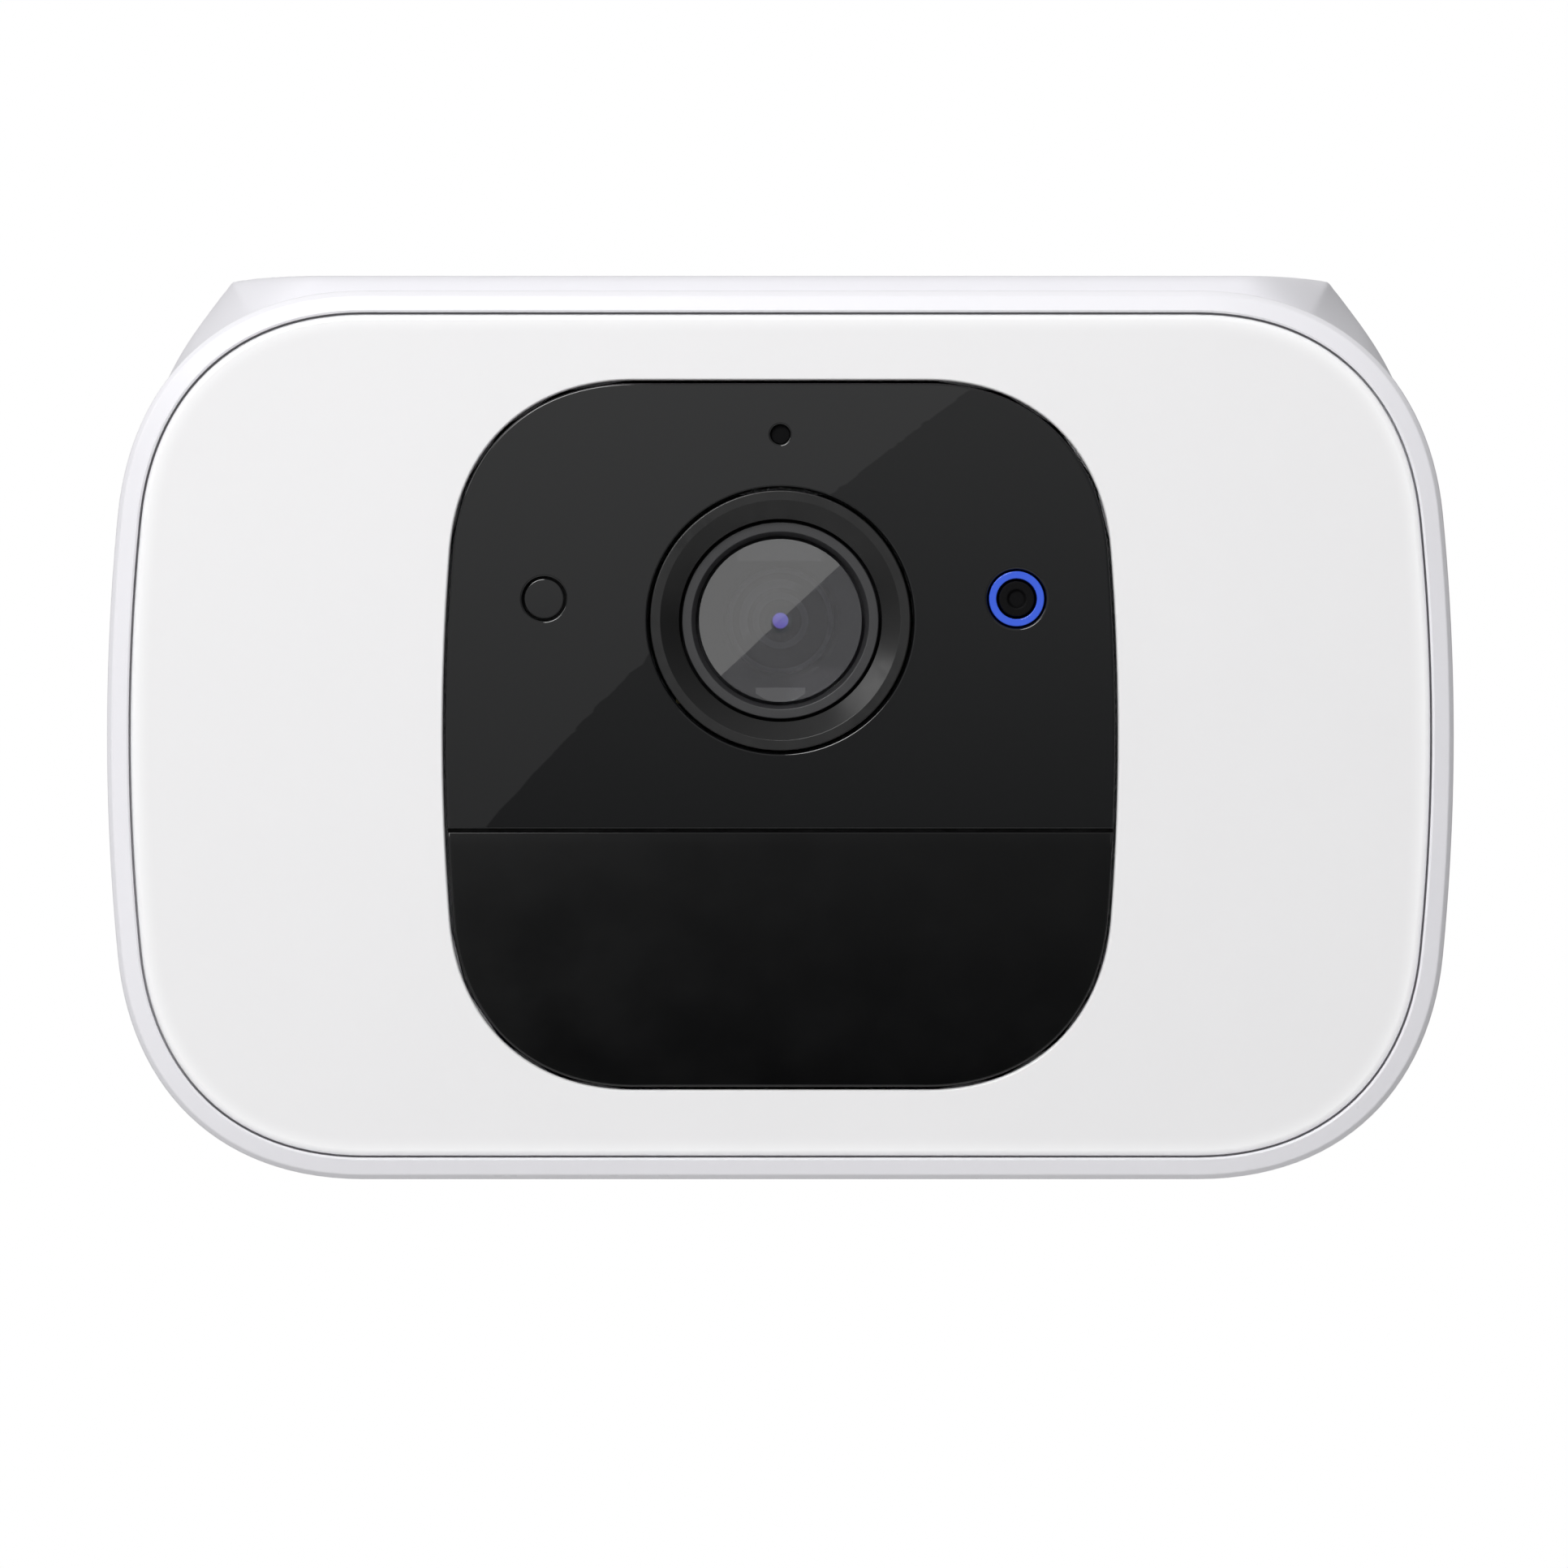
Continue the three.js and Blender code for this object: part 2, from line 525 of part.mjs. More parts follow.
function rearHousing() {
  const shell = cut(
    housingForm(0, 0, BEZEL_DEPTH + GAP),
    housingForm(WALL, 5.2, BEZEL_DEPTH - 1),
  );
  const tongue = cut(
    facePlate(inset(BEZEL, 2.3), 6.7, BEZEL_DEPTH + 2 * GAP),
    facePlate(inset(BEZEL, SHELF_WIDTH), 6, 11),
  );
  const bosses = SCREW_PLACES.map(([x, z]) => disc(4.2, 45, BODY_BACK - 1, x, z, 12));
  const portBlock = box(
    PORT.x - PORT.width / 2 - 2, PORT.x + PORT.width / 2 + 2, BODY_BACK - PORT.depth - 2.5, BODY_BACK - 1,
    PORT.z - PORT.height / 2 - 2, PORT.z + PORT.height / 2 + 2,
  );
  const made = join(
    shell, tongue, ...bosses, portBlock,
    disc(PAD_RADIUS, BODY_BACK - 1, PAD_BACK, 0, -STUD_DROP, 32),
    disc(8, 47, BODY_BACK, 0, -STUD_DROP, 16),
  );
  const grille = Array.from({ length: GRILLE.slots }, (_, i) => {
    const x0 = (i - (GRILLE.slots - 1) / 2) * GRILLE.pitch - GRILLE.width / 2;
    return box(x0, x0 + GRILLE.width, GRILLE.front, GRILLE.back, -50, BODY_BOTTOM + WALL + 0.9);
  });
  const screwHoles = SCREW_PLACES.flatMap(([x, z]) =>
    [disc(1.5, 40, 60, x, z, 8), disc(3, BODY_BACK - 2, 62, x, z, 16)]);
  return cut(
    made,
    onRoof(0, 4, -SOLAR_RECESS),
    disc(5.3, 48.2, 62, 0, -STUD_DROP, 20),
    disc(SYNC.radius + 0.3, 50, 60, SYNC.x, SYNC.z, 20),
    roundedPlate(PORT.x, PORT.z, PORT.width, PORT.height, 1.5, BODY_BACK - PORT.depth, 60),
    roundedPlate(PORT.x, PORT.z, 9.8, 4, 1.5, 45, 60),
    ...grille, ...screwHoles,
  );
}

function housingScrew([x, z], i) {
  const end = BODY_BACK - 0.1;
  const profile = [
    [0, 44.5], [1.2, 44.5], [1.2, end - 1.6], [2.6, end - 1.6], [2.6, end - 0.5], [2, end], [0, end],
  ];
  const recess = crossRecess(x, z, 1.5, 0.3, end - 0.9, end + 2);
  piece(camera, `housing_screw_${i + 1}`, cut(turned(profile, x, z, 12), recess), STEEL);
}

// ---------------------------------------------------------------- power, electronics and sound

const mainBoard = () =>
  join(
    roundedPlate(0, 2.5, 100, 58, 2, 19.5, 21.1),
    box(-14, 12, 21, 23.8, -12, 8),
    box(20, 34, 21, 22.4, -4, 10),
    box(-40, -28, 21, 25, 20, 27),
    box(30, 42, 21, 25, -22, -15),
  );

function batteryPack() {
  const [front, radius, half, upperZ, lowerZ] = [26, 9.2, 32.5, 21.7, 1.3];
  const holder = cut(
    box(-half - 3, half + 3, front, front + 18, lowerZ - radius - 2.6, upperZ + radius + 2.6),
    box(-half - 0.8, half + 0.8, front + 1.5, front + 19, lowerZ - radius - 0.8, upperZ + radius + 0.8),
  );
  piece(camera, 'battery_holder', holder, BLACK_MATT);
  for (const [name, z] of [['battery_cell_upper', upperZ], ['battery_cell_lower', lowerZ]]) {
    const profile = [
      [0, -half], [radius - 0.6, -half], [radius, -half + 0.6], [radius, half - 1.4],
      [radius - 0.6, half - 0.8], [3, half - 0.8], [3, half], [0, half],
    ];
    const cell = new THREE.LatheGeometry(profile.map(([r, y]) => v2(r, y)), TURN_STEPS);
    cell.rotateZ(-Math.PI / 2);
    cell.translate(0, front + 1.5 + 0.4 + radius, z);
    piece(camera, name, solid(cell), CELL_WRAP);
  }
}

function chargePort() {
  const { x, z } = PORT;
  piece(camera, 'charge_board', roundedPlate(x, z, 20, 13, 1, 40, 41.6), BOARD);
  const socket = join(
    cut(roundedPlate(x, z, 9.2, 3.4, 1.5, 42, 51.7), roundedPlate(x, z, 8.4, 2.6, 1.2, 46, 53)),
    box(x - 3.3, x + 3.3, 45, 50.5, z - 0.35, z + 0.35),
  );
  piece(camera, 'charge_socket', socket, STEEL);
  const [front, thick, width, height] = [BODY_BACK + GAP, 1.6, 22, 12];
  const hingeZ = z - height / 2 + thick / 2;
  const lid = roundedPlate(x, z + thick / 4, width, height - thick / 2, 2, front, front + thick);
  const edge = new THREE.CylinderGeometry(thick / 2, thick / 2, width - 4, 10);
  edge.rotateZ(Math.PI / 2);
  edge.translate(x, front + thick / 2, hingeZ);
  const lip = cut(
    roundedPlate(x, z, PORT.width - 0.8, PORT.height - 0.8, 1.2, front - 1.5, front + 0.5),
    roundedPlate(x, z, PORT.width - 2.8, PORT.height - 2.8, 0.8, front - 2, front),
  );
  piece(camera, 'port_cover', join(lid, solid(edge), lip), RUBBER_WHITE);
}

function syncButton() {
  const { x, z, radius } = SYNC;
  const inner = BODY_BACK - WALL;
  const cap = [
    [0, 52.4], [1.5, 52.4], [1.5, 54.2], [radius + 1, 54.2], [radius + 1, inner - GAP],
    [radius, inner - GAP], [radius, BODY_BACK + 0.3], [radius - 0.6, BODY_BACK + 0.8],
    [0, BODY_BACK + 0.6],
  ];
  piece(camera, 'sync_button', turned(cap, x, z, 20), RUBBER_WHITE);
  const board = join(
    roundedPlate(x, z, 14, 12, 1, 46.4, 48),
    box(x - 3, x + 3, 47.9, 50.6, z - 3, z + 3),
    disc(1.7, 50.5, 51.1, x, z, 10),
  );
  piece(camera, 'sync_switch', board, BOARD);
}

function speaker() {
  const upwards = (profile) => {
    const geometry = new THREE.LatheGeometry(profile.map(([r, z]) => v2(r, z)), TURN_STEPS);
    geometry.rotateX(Math.PI / 2);
    geometry.translate(0, 34, 0);
    return solid(geometry);
  };
  const low = BODY_BOTTOM + WALL;
  const driver = [
    [0, low + 3.2], [9, low + 1.8], [11.5, low + 1.6], [14, low + 1.6], [14, low + 4],
    [11, low + 5], [9, low + 8], [0, low + 8],
  ];
  piece(camera, 'speaker', upwards(driver), BLACK_MATT);
  const seal = [
    [12, low + 0.4], [14, low + 0.4], [14, low + 1.3], [12, low + 1.3], [12, low + 0.4],
  ];
  piece(camera, 'speaker_seal', upwards(seal), RUBBER_BLACK);
}

// ---------------------------------------------------------------- wall bracket and ball joint

function ballStem() {
  const [stud, neck, flange] = [3.1, 3.5, 8];
  const profile = [
    [0, 50], [stud - 0.7, 50], [stud, 50.8], [stud, 65.1], [flange, 65.1], [flange, 67.4], [neck, 68],
    ...arc(BALL_RADIUS, BALL_Y, 22.9, 180, 12),
  ];
  return turned(profile);
}

const ballLiner = () =>
  turned([
    ...arc(SOCKET_RADIUS - GAP, BALL_Y, 180, 105, 6), ...arc(BALL_SEAT, BALL_Y, 105, 180, 6),
  ]);

function wallBracket() {
  const profile = [
    ...arc(SOCKET_RADIUS, BALL_Y, 180, 90, 6), [SOCKET_RADIUS, BALL_Y - 2], [13, BALL_Y - 2],
    [13, BALL_Y + 5.6], [15, BALL_Y + 5.6], [15, BALL_Y + 12], [13.5, BALL_Y + 15.5],
    [ARM_RADIUS + 1, BALL_Y + 18], [ARM_RADIUS, BALL_Y + 20], [ARM_RADIUS, PLATE_FRONT - 4],
    [ARM_RADIUS + 1, PLATE_FRONT - 1.4], [ARM_RADIUS + 3.5, PLATE_FRONT],
    [PLATE_RADIUS - 3, PLATE_FRONT], [PLATE_RADIUS - 0.9, PLATE_FRONT + 0.9],
    [PLATE_RADIUS, PLATE_FRONT + 3], [PLATE_RADIUS, DEPTH], [0, DEPTH],
  ];
  const countersunk = [
    [0, PLATE_FRONT - 6], [4.1, PLATE_FRONT - 6], [4.1, PLATE_FRONT + 0.6], [2.4, PLATE_FRONT + 3],
    [2.4, DEPTH + 2], [0, DEPTH + 2],
  ];
  const holes = screwCentres().map(([x, z]) => turned(countersunk, x, z, 12));
  return cut(turned(profile, 0, 0, 24), ...holes);
}

function screwCentres() {
  return Array.from({ length: WALL_SCREWS }, (_, i) => {
    const angle = radians(90 + (360 * i) / WALL_SCREWS);
    return [WALL_SCREW_CIRCLE * Math.cos(angle), WALL_SCREW_CIRCLE * Math.sin(angle)];
  });
}

function wallScrew([x, z], i) {
  const [top, end] = [PLATE_FRONT + 0.3, DEPTH - GAP];
  const profile = [[0, top], [3.7, top], [3.7, top + 0.6], [2.1, top + 2.8], [2.1, end], [0, end]];
  const recess = crossRecess(x, z, 2, 0.4, top - 1, top + 1.2);
  piece(bracket, `wall_screw_${i + 1}`, cut(turned(profile, x, z, 12), recess), STEEL);
}

// The collar screws onto the socket and its lip presses the ball back into the liner.
function clampCollar() {
  const [rear, front] = [BALL_Y + 5, BALL_Y - 6.2];
  const inside = [
    [0, rear + 1], [13.3, rear + 1], [13.3, BALL_Y - 2.7], ...arc(BALL_SEAT, BALL_Y, 73.1, 63, 2),
    [11, BALL_Y - 5.6], [12.2, front - 0.2], [12.2, front - 1], [0, front - 1],
  ];
  return cut(knurled(12, COLLAR_RADIUS, 0.7, 24, front, rear), turned(inside));
}

// ---------------------------------------------------------------- the assembly

piece(camera, 'bezel_ring', bezelRing(), WHITE);
piece(camera, 'face_seal', faceSeal(), RUBBER_BLACK);
piece(camera, 'light_diffuser', lightDiffuser(), DIFFUSER);
piece(camera, 'lens_fascia', lensFascia(), BLACK_GLOSS);
piece(camera, 'sensor_window', sensorWindow(), BLACK_SATIN);
piece(camera, 'module_carrier', moduleCarrier(), BLACK_MATT);
lensPieces();
indicators();
motionSensing();
piece(camera, 'reflector_tray', reflectorTray(), BOARD_WHITE);
piece(camera, 'led_board_left', ledBoard(-1), BOARD_WHITE);
piece(camera, 'led_board_right', ledBoard(1), BOARD_WHITE);
piece(camera, 'heat_spreader', heatSpreader(), ALUMINIUM);
piece(camera, 'main_board', mainBoard(), BOARD);
piece(camera, 'wifi_antenna', box(-45, -20, 28, 48, 35, 36), BOARD);
batteryPack();
chargePort();
syncButton();
speaker();
piece(camera, 'mount_insert', ring(3.4, 5, 48.5, 59.2, 0, -STUD_DROP, 20), BRASS);
piece(camera, 'rear_housing', rearHousing(), WHITE);
piece(camera, 'solar_panel', onRoof(0.3, -0.2, -SOLAR_RECESS + 1.2), SOLAR_GLASS);
const sealOuter = onRoof(0.4, -SOLAR_RECESS + 0.9, -SOLAR_RECESS + 0.3);
piece(camera, 'solar_panel_seal', cut(sealOuter, onRoof(4, 0, -SOLAR_RECESS)), RUBBER_BLACK);
SCREW_PLACES.forEach(housingScrew);

piece(bracket, 'wall_bracket', wallBracket(), WHITE);
screwCentres().forEach(wallScrew);
piece(bracket, 'clamp_collar', clampCollar(), WHITE);
piece(bracket, 'ball_liner', ballLiner(), BLACK_MATT);
piece(bracket, 'ball_stem', ballStem(), STEEL);
piece(bracket, 'lock_ring', knurled(3.4, 9.5, 0.6, 16, 59.8, 64.8), BLACK_MATT);

const securityCamera = new THREE.Group();
securityCamera.add(camera, bracket);
export default securityCamera;
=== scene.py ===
"""A wire-free floodlight security camera with a solar roof, on a ball-jointed wall bracket.

Pieces are drawn in millimetres, with x to the right, y the depth behind the front rim and z up.
Camera pieces measure z from the face's centre and bracket pieces from the mounting stud's axis.
"""

import json
import math

import bmesh
import bpy
import numpy as np
from mathutils import Matrix, Vector
from mathutils.geometry import tessellate_polygon


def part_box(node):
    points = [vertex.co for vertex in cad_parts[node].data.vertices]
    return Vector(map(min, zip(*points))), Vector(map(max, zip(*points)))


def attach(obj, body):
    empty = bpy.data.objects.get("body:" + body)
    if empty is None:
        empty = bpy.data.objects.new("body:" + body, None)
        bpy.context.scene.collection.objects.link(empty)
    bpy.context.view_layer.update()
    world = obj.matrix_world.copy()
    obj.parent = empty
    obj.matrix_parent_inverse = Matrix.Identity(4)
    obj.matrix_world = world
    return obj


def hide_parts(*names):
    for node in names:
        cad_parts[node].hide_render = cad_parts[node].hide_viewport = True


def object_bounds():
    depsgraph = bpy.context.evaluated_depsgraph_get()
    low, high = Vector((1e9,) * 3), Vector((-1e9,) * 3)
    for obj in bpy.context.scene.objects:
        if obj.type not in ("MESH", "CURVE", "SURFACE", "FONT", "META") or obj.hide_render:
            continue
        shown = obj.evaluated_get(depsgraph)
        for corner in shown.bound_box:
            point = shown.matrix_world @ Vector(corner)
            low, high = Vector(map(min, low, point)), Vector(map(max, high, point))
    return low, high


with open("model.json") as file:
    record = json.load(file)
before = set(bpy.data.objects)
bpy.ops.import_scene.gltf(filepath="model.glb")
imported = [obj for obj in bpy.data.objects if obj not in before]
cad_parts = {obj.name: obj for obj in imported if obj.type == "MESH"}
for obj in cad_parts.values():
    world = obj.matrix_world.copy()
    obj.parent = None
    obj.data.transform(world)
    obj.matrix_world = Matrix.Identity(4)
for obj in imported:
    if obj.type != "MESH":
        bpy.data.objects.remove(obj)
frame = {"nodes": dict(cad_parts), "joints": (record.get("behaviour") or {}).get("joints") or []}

cad_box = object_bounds()

# ---------------- places and sizes from the frame

MM = 0.001
rim_low, rim_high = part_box("bezel_ring")
JOINTS = {joint["name"]: joint for joint in frame["joints"]}
BALL = Vector(JOINTS["mount_pan"]["pos_m"])
FACE = Vector(((rim_low.x + rim_high.x) / 2, rim_low.y, (rim_low.z + rim_high.z) / 2))
STUD = Vector((FACE.x, FACE.y, BALL.z))


def span(node, origin=FACE):
    """Lowest and highest corner of a CAD node in millimetres from an origin."""
    low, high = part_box(node)
    return (low - origin) / MM, (high - origin) / MM


def middle(node, origin=FACE):
    low, high = span(node, origin)
    return (low + high) / 2


RIM = dict(x=67.0, z=44.2, corner_x=25.5, corner_z=22.2, bow=1.08, full=0.58)
PANEL = dict(x=33.3, z=35.0, corner_x=18.7, corner_z=16.6, bow=0.73, full=0.576)
RIM_DEPTH = span("bezel_ring")[1].y
DIFFUSER_INSET = 2.35
PLATE_BACK = span("light_diffuser")[1].y
LENS_Z = middle("lens_cover_glass").z
LIGHT = middle("status_light_core")
SPLIT_Z = (span("lens_fascia")[0].z + span("sensor_window")[1].z) / 2
MICROPHONE_Z = middle("microphone").z

BODY_BACK = span("sync_button")[1].y - 0.8
ROOF_BACK = span("rear_housing")[1].y
ROOF_TOP = span("rear_housing")[1].z
ROOF_FRONT = 14.5
FLANK_BACK = 28.0
ROOF_FALL = 3.0
ROOF_TAPER = 0.94
SHOULDER = (54.95, 45.45)
EAVE_UNDERSIDE = 33.5
EAVE_SWEEP = 30.0
WALL = 2.2
PORT_X, PORT_Z = middle("port_cover").x, -20.0

BALL_DEPTH = (BALL.y - FACE.y) / MM
BALL_RADIUS = span("ball_stem", STUD)[1].x
BALL_SEAT = 9.3
WALL_DEPTH = span("wall_bracket", STUD)[1].y
PLATE_RADIUS = span("wall_bracket", STUD)[1].x
STUD_Z = (BALL.z - FACE.z) / MM

# ---------------- outlines


def inset(form, by):
    """The same outline moved inwards by a distance, or outwards by a negative one."""
    return dict(
        form,
        x=form["x"] - by,
        z=form["z"] - by,
        corner_x=form["corner_x"] - 0.95 * by,
        corner_z=form["corner_z"] - 0.8 * by,
    )


def bezier(points, count):
    """Points along a cubic curve, without its last one."""
    t = np.arange(count)[:, None] / count
    a, b, c, d = (np.array(p, float) for p in points)
    return (1 - t) ** 3 * a + 3 * (1 - t) ** 2 * t * b + 3 * (1 - t) * t**2 * c + t**3 * d


def straight(a, b, count):
    t = np.arange(count)[:, None] / count
    return np.array(a, float) * (1 - t) + np.array(b, float) * t


def mirrored(points, axis):
    """Points flipped across one axis and run backwards, so that they follow on."""
    flipped = points[::-1].copy()
    flipped[:, axis] *= -1
    return flipped


def closed(above, below):
    """A whole outline from its upper and its lower right-hand quarter, anticlockwise."""
    top = np.vstack([above, mirrored(above, 0)[1:]])
    bottom = mirrored(np.vstack([below, mirrored(below, 0)[1:]]), 1)[1:-1]
    return np.vstack([top, bottom])


def quarter(form, side=10, corner=28, top=8):
    """The outline from the side's middle to the top's middle, both ends included."""
    side_z = form["z"] - form["corner_z"]
    edge_x = form["x"] - form["bow"]
    lean = 2 * form["bow"] / side_z
    full_x, full_z = form["full"] * form["corner_x"], form["full"] * form["corner_z"]
    start = (edge_x, side_z)
    end = (form["x"] - form["corner_x"], form["z"])
    bowed = [(form["x"], 0), (form["x"], side_z / 3),
             (edge_x + lean * side_z / 3, side_z * 2 / 3), start]
    turn = [start, (edge_x - lean * full_z, side_z + full_z), (end[0] + full_x, form["z"]), end]
    middle_top = (0, form["z"])
    flat_top = straight(end, middle_top, top)
    return np.vstack([bezier(bowed, side), bezier(turn, corner), flat_top, [middle_top]])


def outline(form):
    return closed(quarter(form), quarter(form))


def circle(radius, count=96, x=0.0, z=0.0):
    angle = np.arange(count) * 2 * np.pi / count
    return np.column_stack([x + radius * np.cos(angle), z + radius * np.sin(angle)])


def rounded_box(width, height, radius, x=0.0, z=0.0, steps=8):
    """A rectangle with round corners, anticlockwise."""
    radius = max(radius, 1e-3)
    corners = []
    for k, (sx, sz) in enumerate([(1, 1), (-1, 1), (-1, -1), (1, -1)]):
        angle = np.radians(np.linspace(90 * k, 90 * k + 90, steps + 1))
        cx, cz = x + sx * (width / 2 - radius), z + sz * (height / 2 - radius)
        corners.append(np.column_stack([cx + radius * np.cos(angle), cz + radius * np.sin(angle)]))
    return np.vstack(corners)


def rounded(width, height, radius, x=0.0, z=0.0, steps=8):
    """A rectangle with round corners, as a loop for each inset."""
    return lambda d: rounded_box(width - 2 * d, height - 2 * d, radius - d, x, z, steps)


def cut_off(loop, z, keep_above):
    """A loop cut by a level line, with the points past the line spread along it."""
    past = (loop[:, 1] < z) == keep_above
    first = np.flatnonzero(past & ~np.roll(past, 1))[0]
    rolled, gone = np.roll(loop, -first, axis=0), int(past.sum())

    def crossing(a, b):
        return a + (b - a) * (z - a[1]) / (b[1] - a[1])

    ends = crossing(rolled[-1], rolled[0]), crossing(rolled[gone - 1], rolled[gone])
    rolled[:gone] = ends[0] + (ends[1] - ends[0]) * np.linspace(0, 1, gone)[:, None]
    return rolled


def filleted(profile, steps=5):
    """A closed profile of (offset, depth, radius) with each corner that has a radius made an arc."""
    points = [np.array(p[:2], float) for p in profile]
    result = []
    for i, corner in enumerate(profile):
        p = points[i]
        if len(corner) < 3:
            result.append(tuple(p))
            continue
        a, b = points[i - 1] - p, points[(i + 1) % len(points)] - p
        a, b = a / np.linalg.norm(a), b / np.linalg.norm(b)
        half = math.acos(max(-1.0, min(1.0, float(a @ b)))) / 2
        centre = p + (a + b) / np.linalg.norm(a + b) * corner[2] / math.sin(half)
        start, end = (p + side * corner[2] / math.tan(half) - centre for side in (a, b))
        turn = math.atan2(start[0] * end[1] - start[1] * end[0], start @ end)
        for k in range(steps + 1):
            c, s = math.cos(turn * k / steps), math.sin(turn * k / steps)
            across, along = c * start[0] - s * start[1], s * start[0] + c * start[1]
            result.append((centre[0] + across, centre[1] + along))
    return result


def arc(radius, centre_depth, start, end, steps):
    """Radius and depth pairs on a circle about a point of the axis, by angle from the front."""
    angles = [math.radians(start + (end - start) * k / steps) for k in range(steps + 1)]
    return [(max(0.0, radius * math.sin(a)), centre_depth - radius * math.cos(a)) for a in angles]


# ---------------- meshes


def mesh_object(name, vertices, faces):
    """A mesh object in millimetres whose faces all point out."""
    mesh = bpy.data.meshes.new(name)
    mesh.from_pydata([tuple(map(float, v)) for v in vertices], [], faces)
    build = bmesh.new()
    build.from_mesh(mesh)
    bmesh.ops.remove_doubles(build, verts=build.verts, dist=1e-5)
    bmesh.ops.recalc_face_normals(build, faces=build.faces)
    build.to_mesh(mesh)
    build.free()
    made = bpy.data.objects.new(name, mesh)
    bpy.context.scene.collection.objects.link(made)
    return made


def skin(loops, joined=False):
    """Vertices and quads through loops of equal point count, joined last to first if asked."""
    count, total = len(loops[0]), len(loops)
    faces = []
    for k in range(total if joined else total - 1):
        a, b = k * count, ((k + 1) % total) * count
        faces += [(a + i, a + (i + 1) % count, b + (i + 1) % count, b + i) for i in range(count)]
    return np.vstack(loops), faces


def at_depth(loop, depth):
    return np.column_stack([loop[:, 0], np.full(len(loop), depth), loop[:, 1]])


def swept(name, edge, profile):
    """A ring whose closed section of (inset, depth) pairs runs round the loop that edge gives."""
    return mesh_object(name, *skin([at_depth(edge(d), y) for d, y in profile], joined=True))


def turned(name, profile, x=0.0, z=0.0, count=96):
    """A lathe piece about the line (x, z). A profile that starts on the axis is solid."""
    loops = [at_depth(circle(r, count, x, z), y) for r, y in profile]
    return mesh_object(name, *skin(loops, joined=profile[0][0] > 0))


def softened(front, back, front_round=0.2, back_round=0.1, steps=4):
    """The section of a plate's edge from front to back, as (inset, depth) pairs."""
    def bend(radius, face, sign):
        angles = [math.pi / 2 * k / steps for k in range(steps + 1)]
        return [(radius * (1 - math.sin(a)), face + sign * radius * (1 - math.cos(a))) for a in angles]

    return bend(front_round, front, 1) + bend(back_round, back, -1)[::-1]


def plate(name, edges, section):
    """A flat piece. Each edge is a loop for an inset: first the rim, then the holes."""
    vertices, faces, caps = [], [], ([], [])
    for edge in edges:
        start, count = len(vertices), len(edge(0))
        points, quads = skin([at_depth(edge(d), y) for d, y in section])
        vertices += list(points)
        faces += [tuple(start + i for i in quad) for quad in quads]
        caps[0].append(range(start, start + count))
        caps[1].append(range(len(vertices) - count, len(vertices)))
    for cap in caps:
        order = [i for loop in cap for i in loop]
        flat = [[Vector((vertices[i][0], vertices[i][2], 0)) for i in loop] for loop in cap]
        faces += [tuple(order[i] for i in triangle) for triangle in tessellate_polygon(flat)]
    return mesh_object(name, vertices, faces)


def combined(made, operation, others):
    """The piece after a boolean with each of the others, which are used up."""
    for other in others:
        step = made.modifiers.new("combine", "BOOLEAN")
        step.operation, step.object, step.solver = operation, other, "MANIFOLD"
    bpy.context.view_layer.update()
    result = made.evaluated_get(bpy.context.evaluated_depsgraph_get())
    mesh = bpy.data.meshes.new_from_object(result)
    made.modifiers.clear()
    made.data = mesh
    for other in others:
        bpy.data.objects.remove(other)
    return made


def shade_smooth(mesh, limit):
    """Smooth shading across edges under a limit in degrees, in which flat ground keeps its own
    normal: each face counts with the area of all the faces in its plane."""
    corner_vertex, corner_face = (np.zeros(len(mesh.loops), int) for _ in range(2))
    mesh.loops.foreach_get("vertex_index", corner_vertex)
    sizes = np.zeros(len(mesh.polygons), int)
    mesh.polygons.foreach_get("loop_total", sizes)
    corner_face[:] = np.repeat(np.arange(len(sizes)), sizes)
    normals, centres = (np.zeros((len(sizes), 3)) for _ in range(2))
    areas = np.zeros(len(sizes))
    mesh.polygons.foreach_get("normal", normals.ravel())
    mesh.polygons.foreach_get("center", centres.ravel())
    mesh.polygons.foreach_get("area", areas)
    offsets = (normals * centres).sum(axis=1).round(5) * 100
    planes = np.column_stack([normals.round(3), offsets]).round(3)
    _, group = np.unique(planes, axis=0, return_inverse=True)
    group = group.ravel()
    weight = np.bincount(group, areas)[group]

    order = np.argsort(corner_vertex, kind="stable")
    vertex = corner_vertex[order]
    counts = np.bincount(vertex, minlength=len(mesh.vertices))
    starts = np.cumsum(counts) - counts
    repeats = counts[vertex]
    first = np.repeat(np.arange(len(order)), repeats)
    step = np.arange(repeats.sum()) - np.repeat(np.cumsum(repeats) - repeats, repeats)
    face_a, face_b = corner_face[order[first]], corner_face[order[starts[vertex[first]] + step]]
    near = (normals[face_a] * normals[face_b]).sum(axis=1) > math.cos(math.radians(limit))
    total = np.zeros((len(order), 3))
    for axis in range(3):
        total[:, axis] = np.bincount(first, near * weight[face_b] * normals[face_b, axis], len(order))
    result = np.zeros_like(total)
    result[order] = total / np.maximum(np.linalg.norm(total, axis=1), 1e-12)[:, None]
    mesh.polygons.foreach_set("use_smooth", [True] * len(sizes))
    mesh.normals_split_custom_set(result.tolist())


def place(made, material, body, nodes, origin=FACE, sharp=35):
    """Takes a piece from millimetres to the frame, hangs it on the body it rides on and hides the CAD
    nodes it stands in for.
    """
    mesh = made.data
    mesh.transform(Matrix.Translation(origin) @ Matrix.Scale(MM, 4))
    mesh.materials.clear()
    mesh.materials.append(material)
    shade_smooth(mesh, sharp)
    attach(made, body)
    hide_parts(*nodes)
    return made

# ---------------- materials


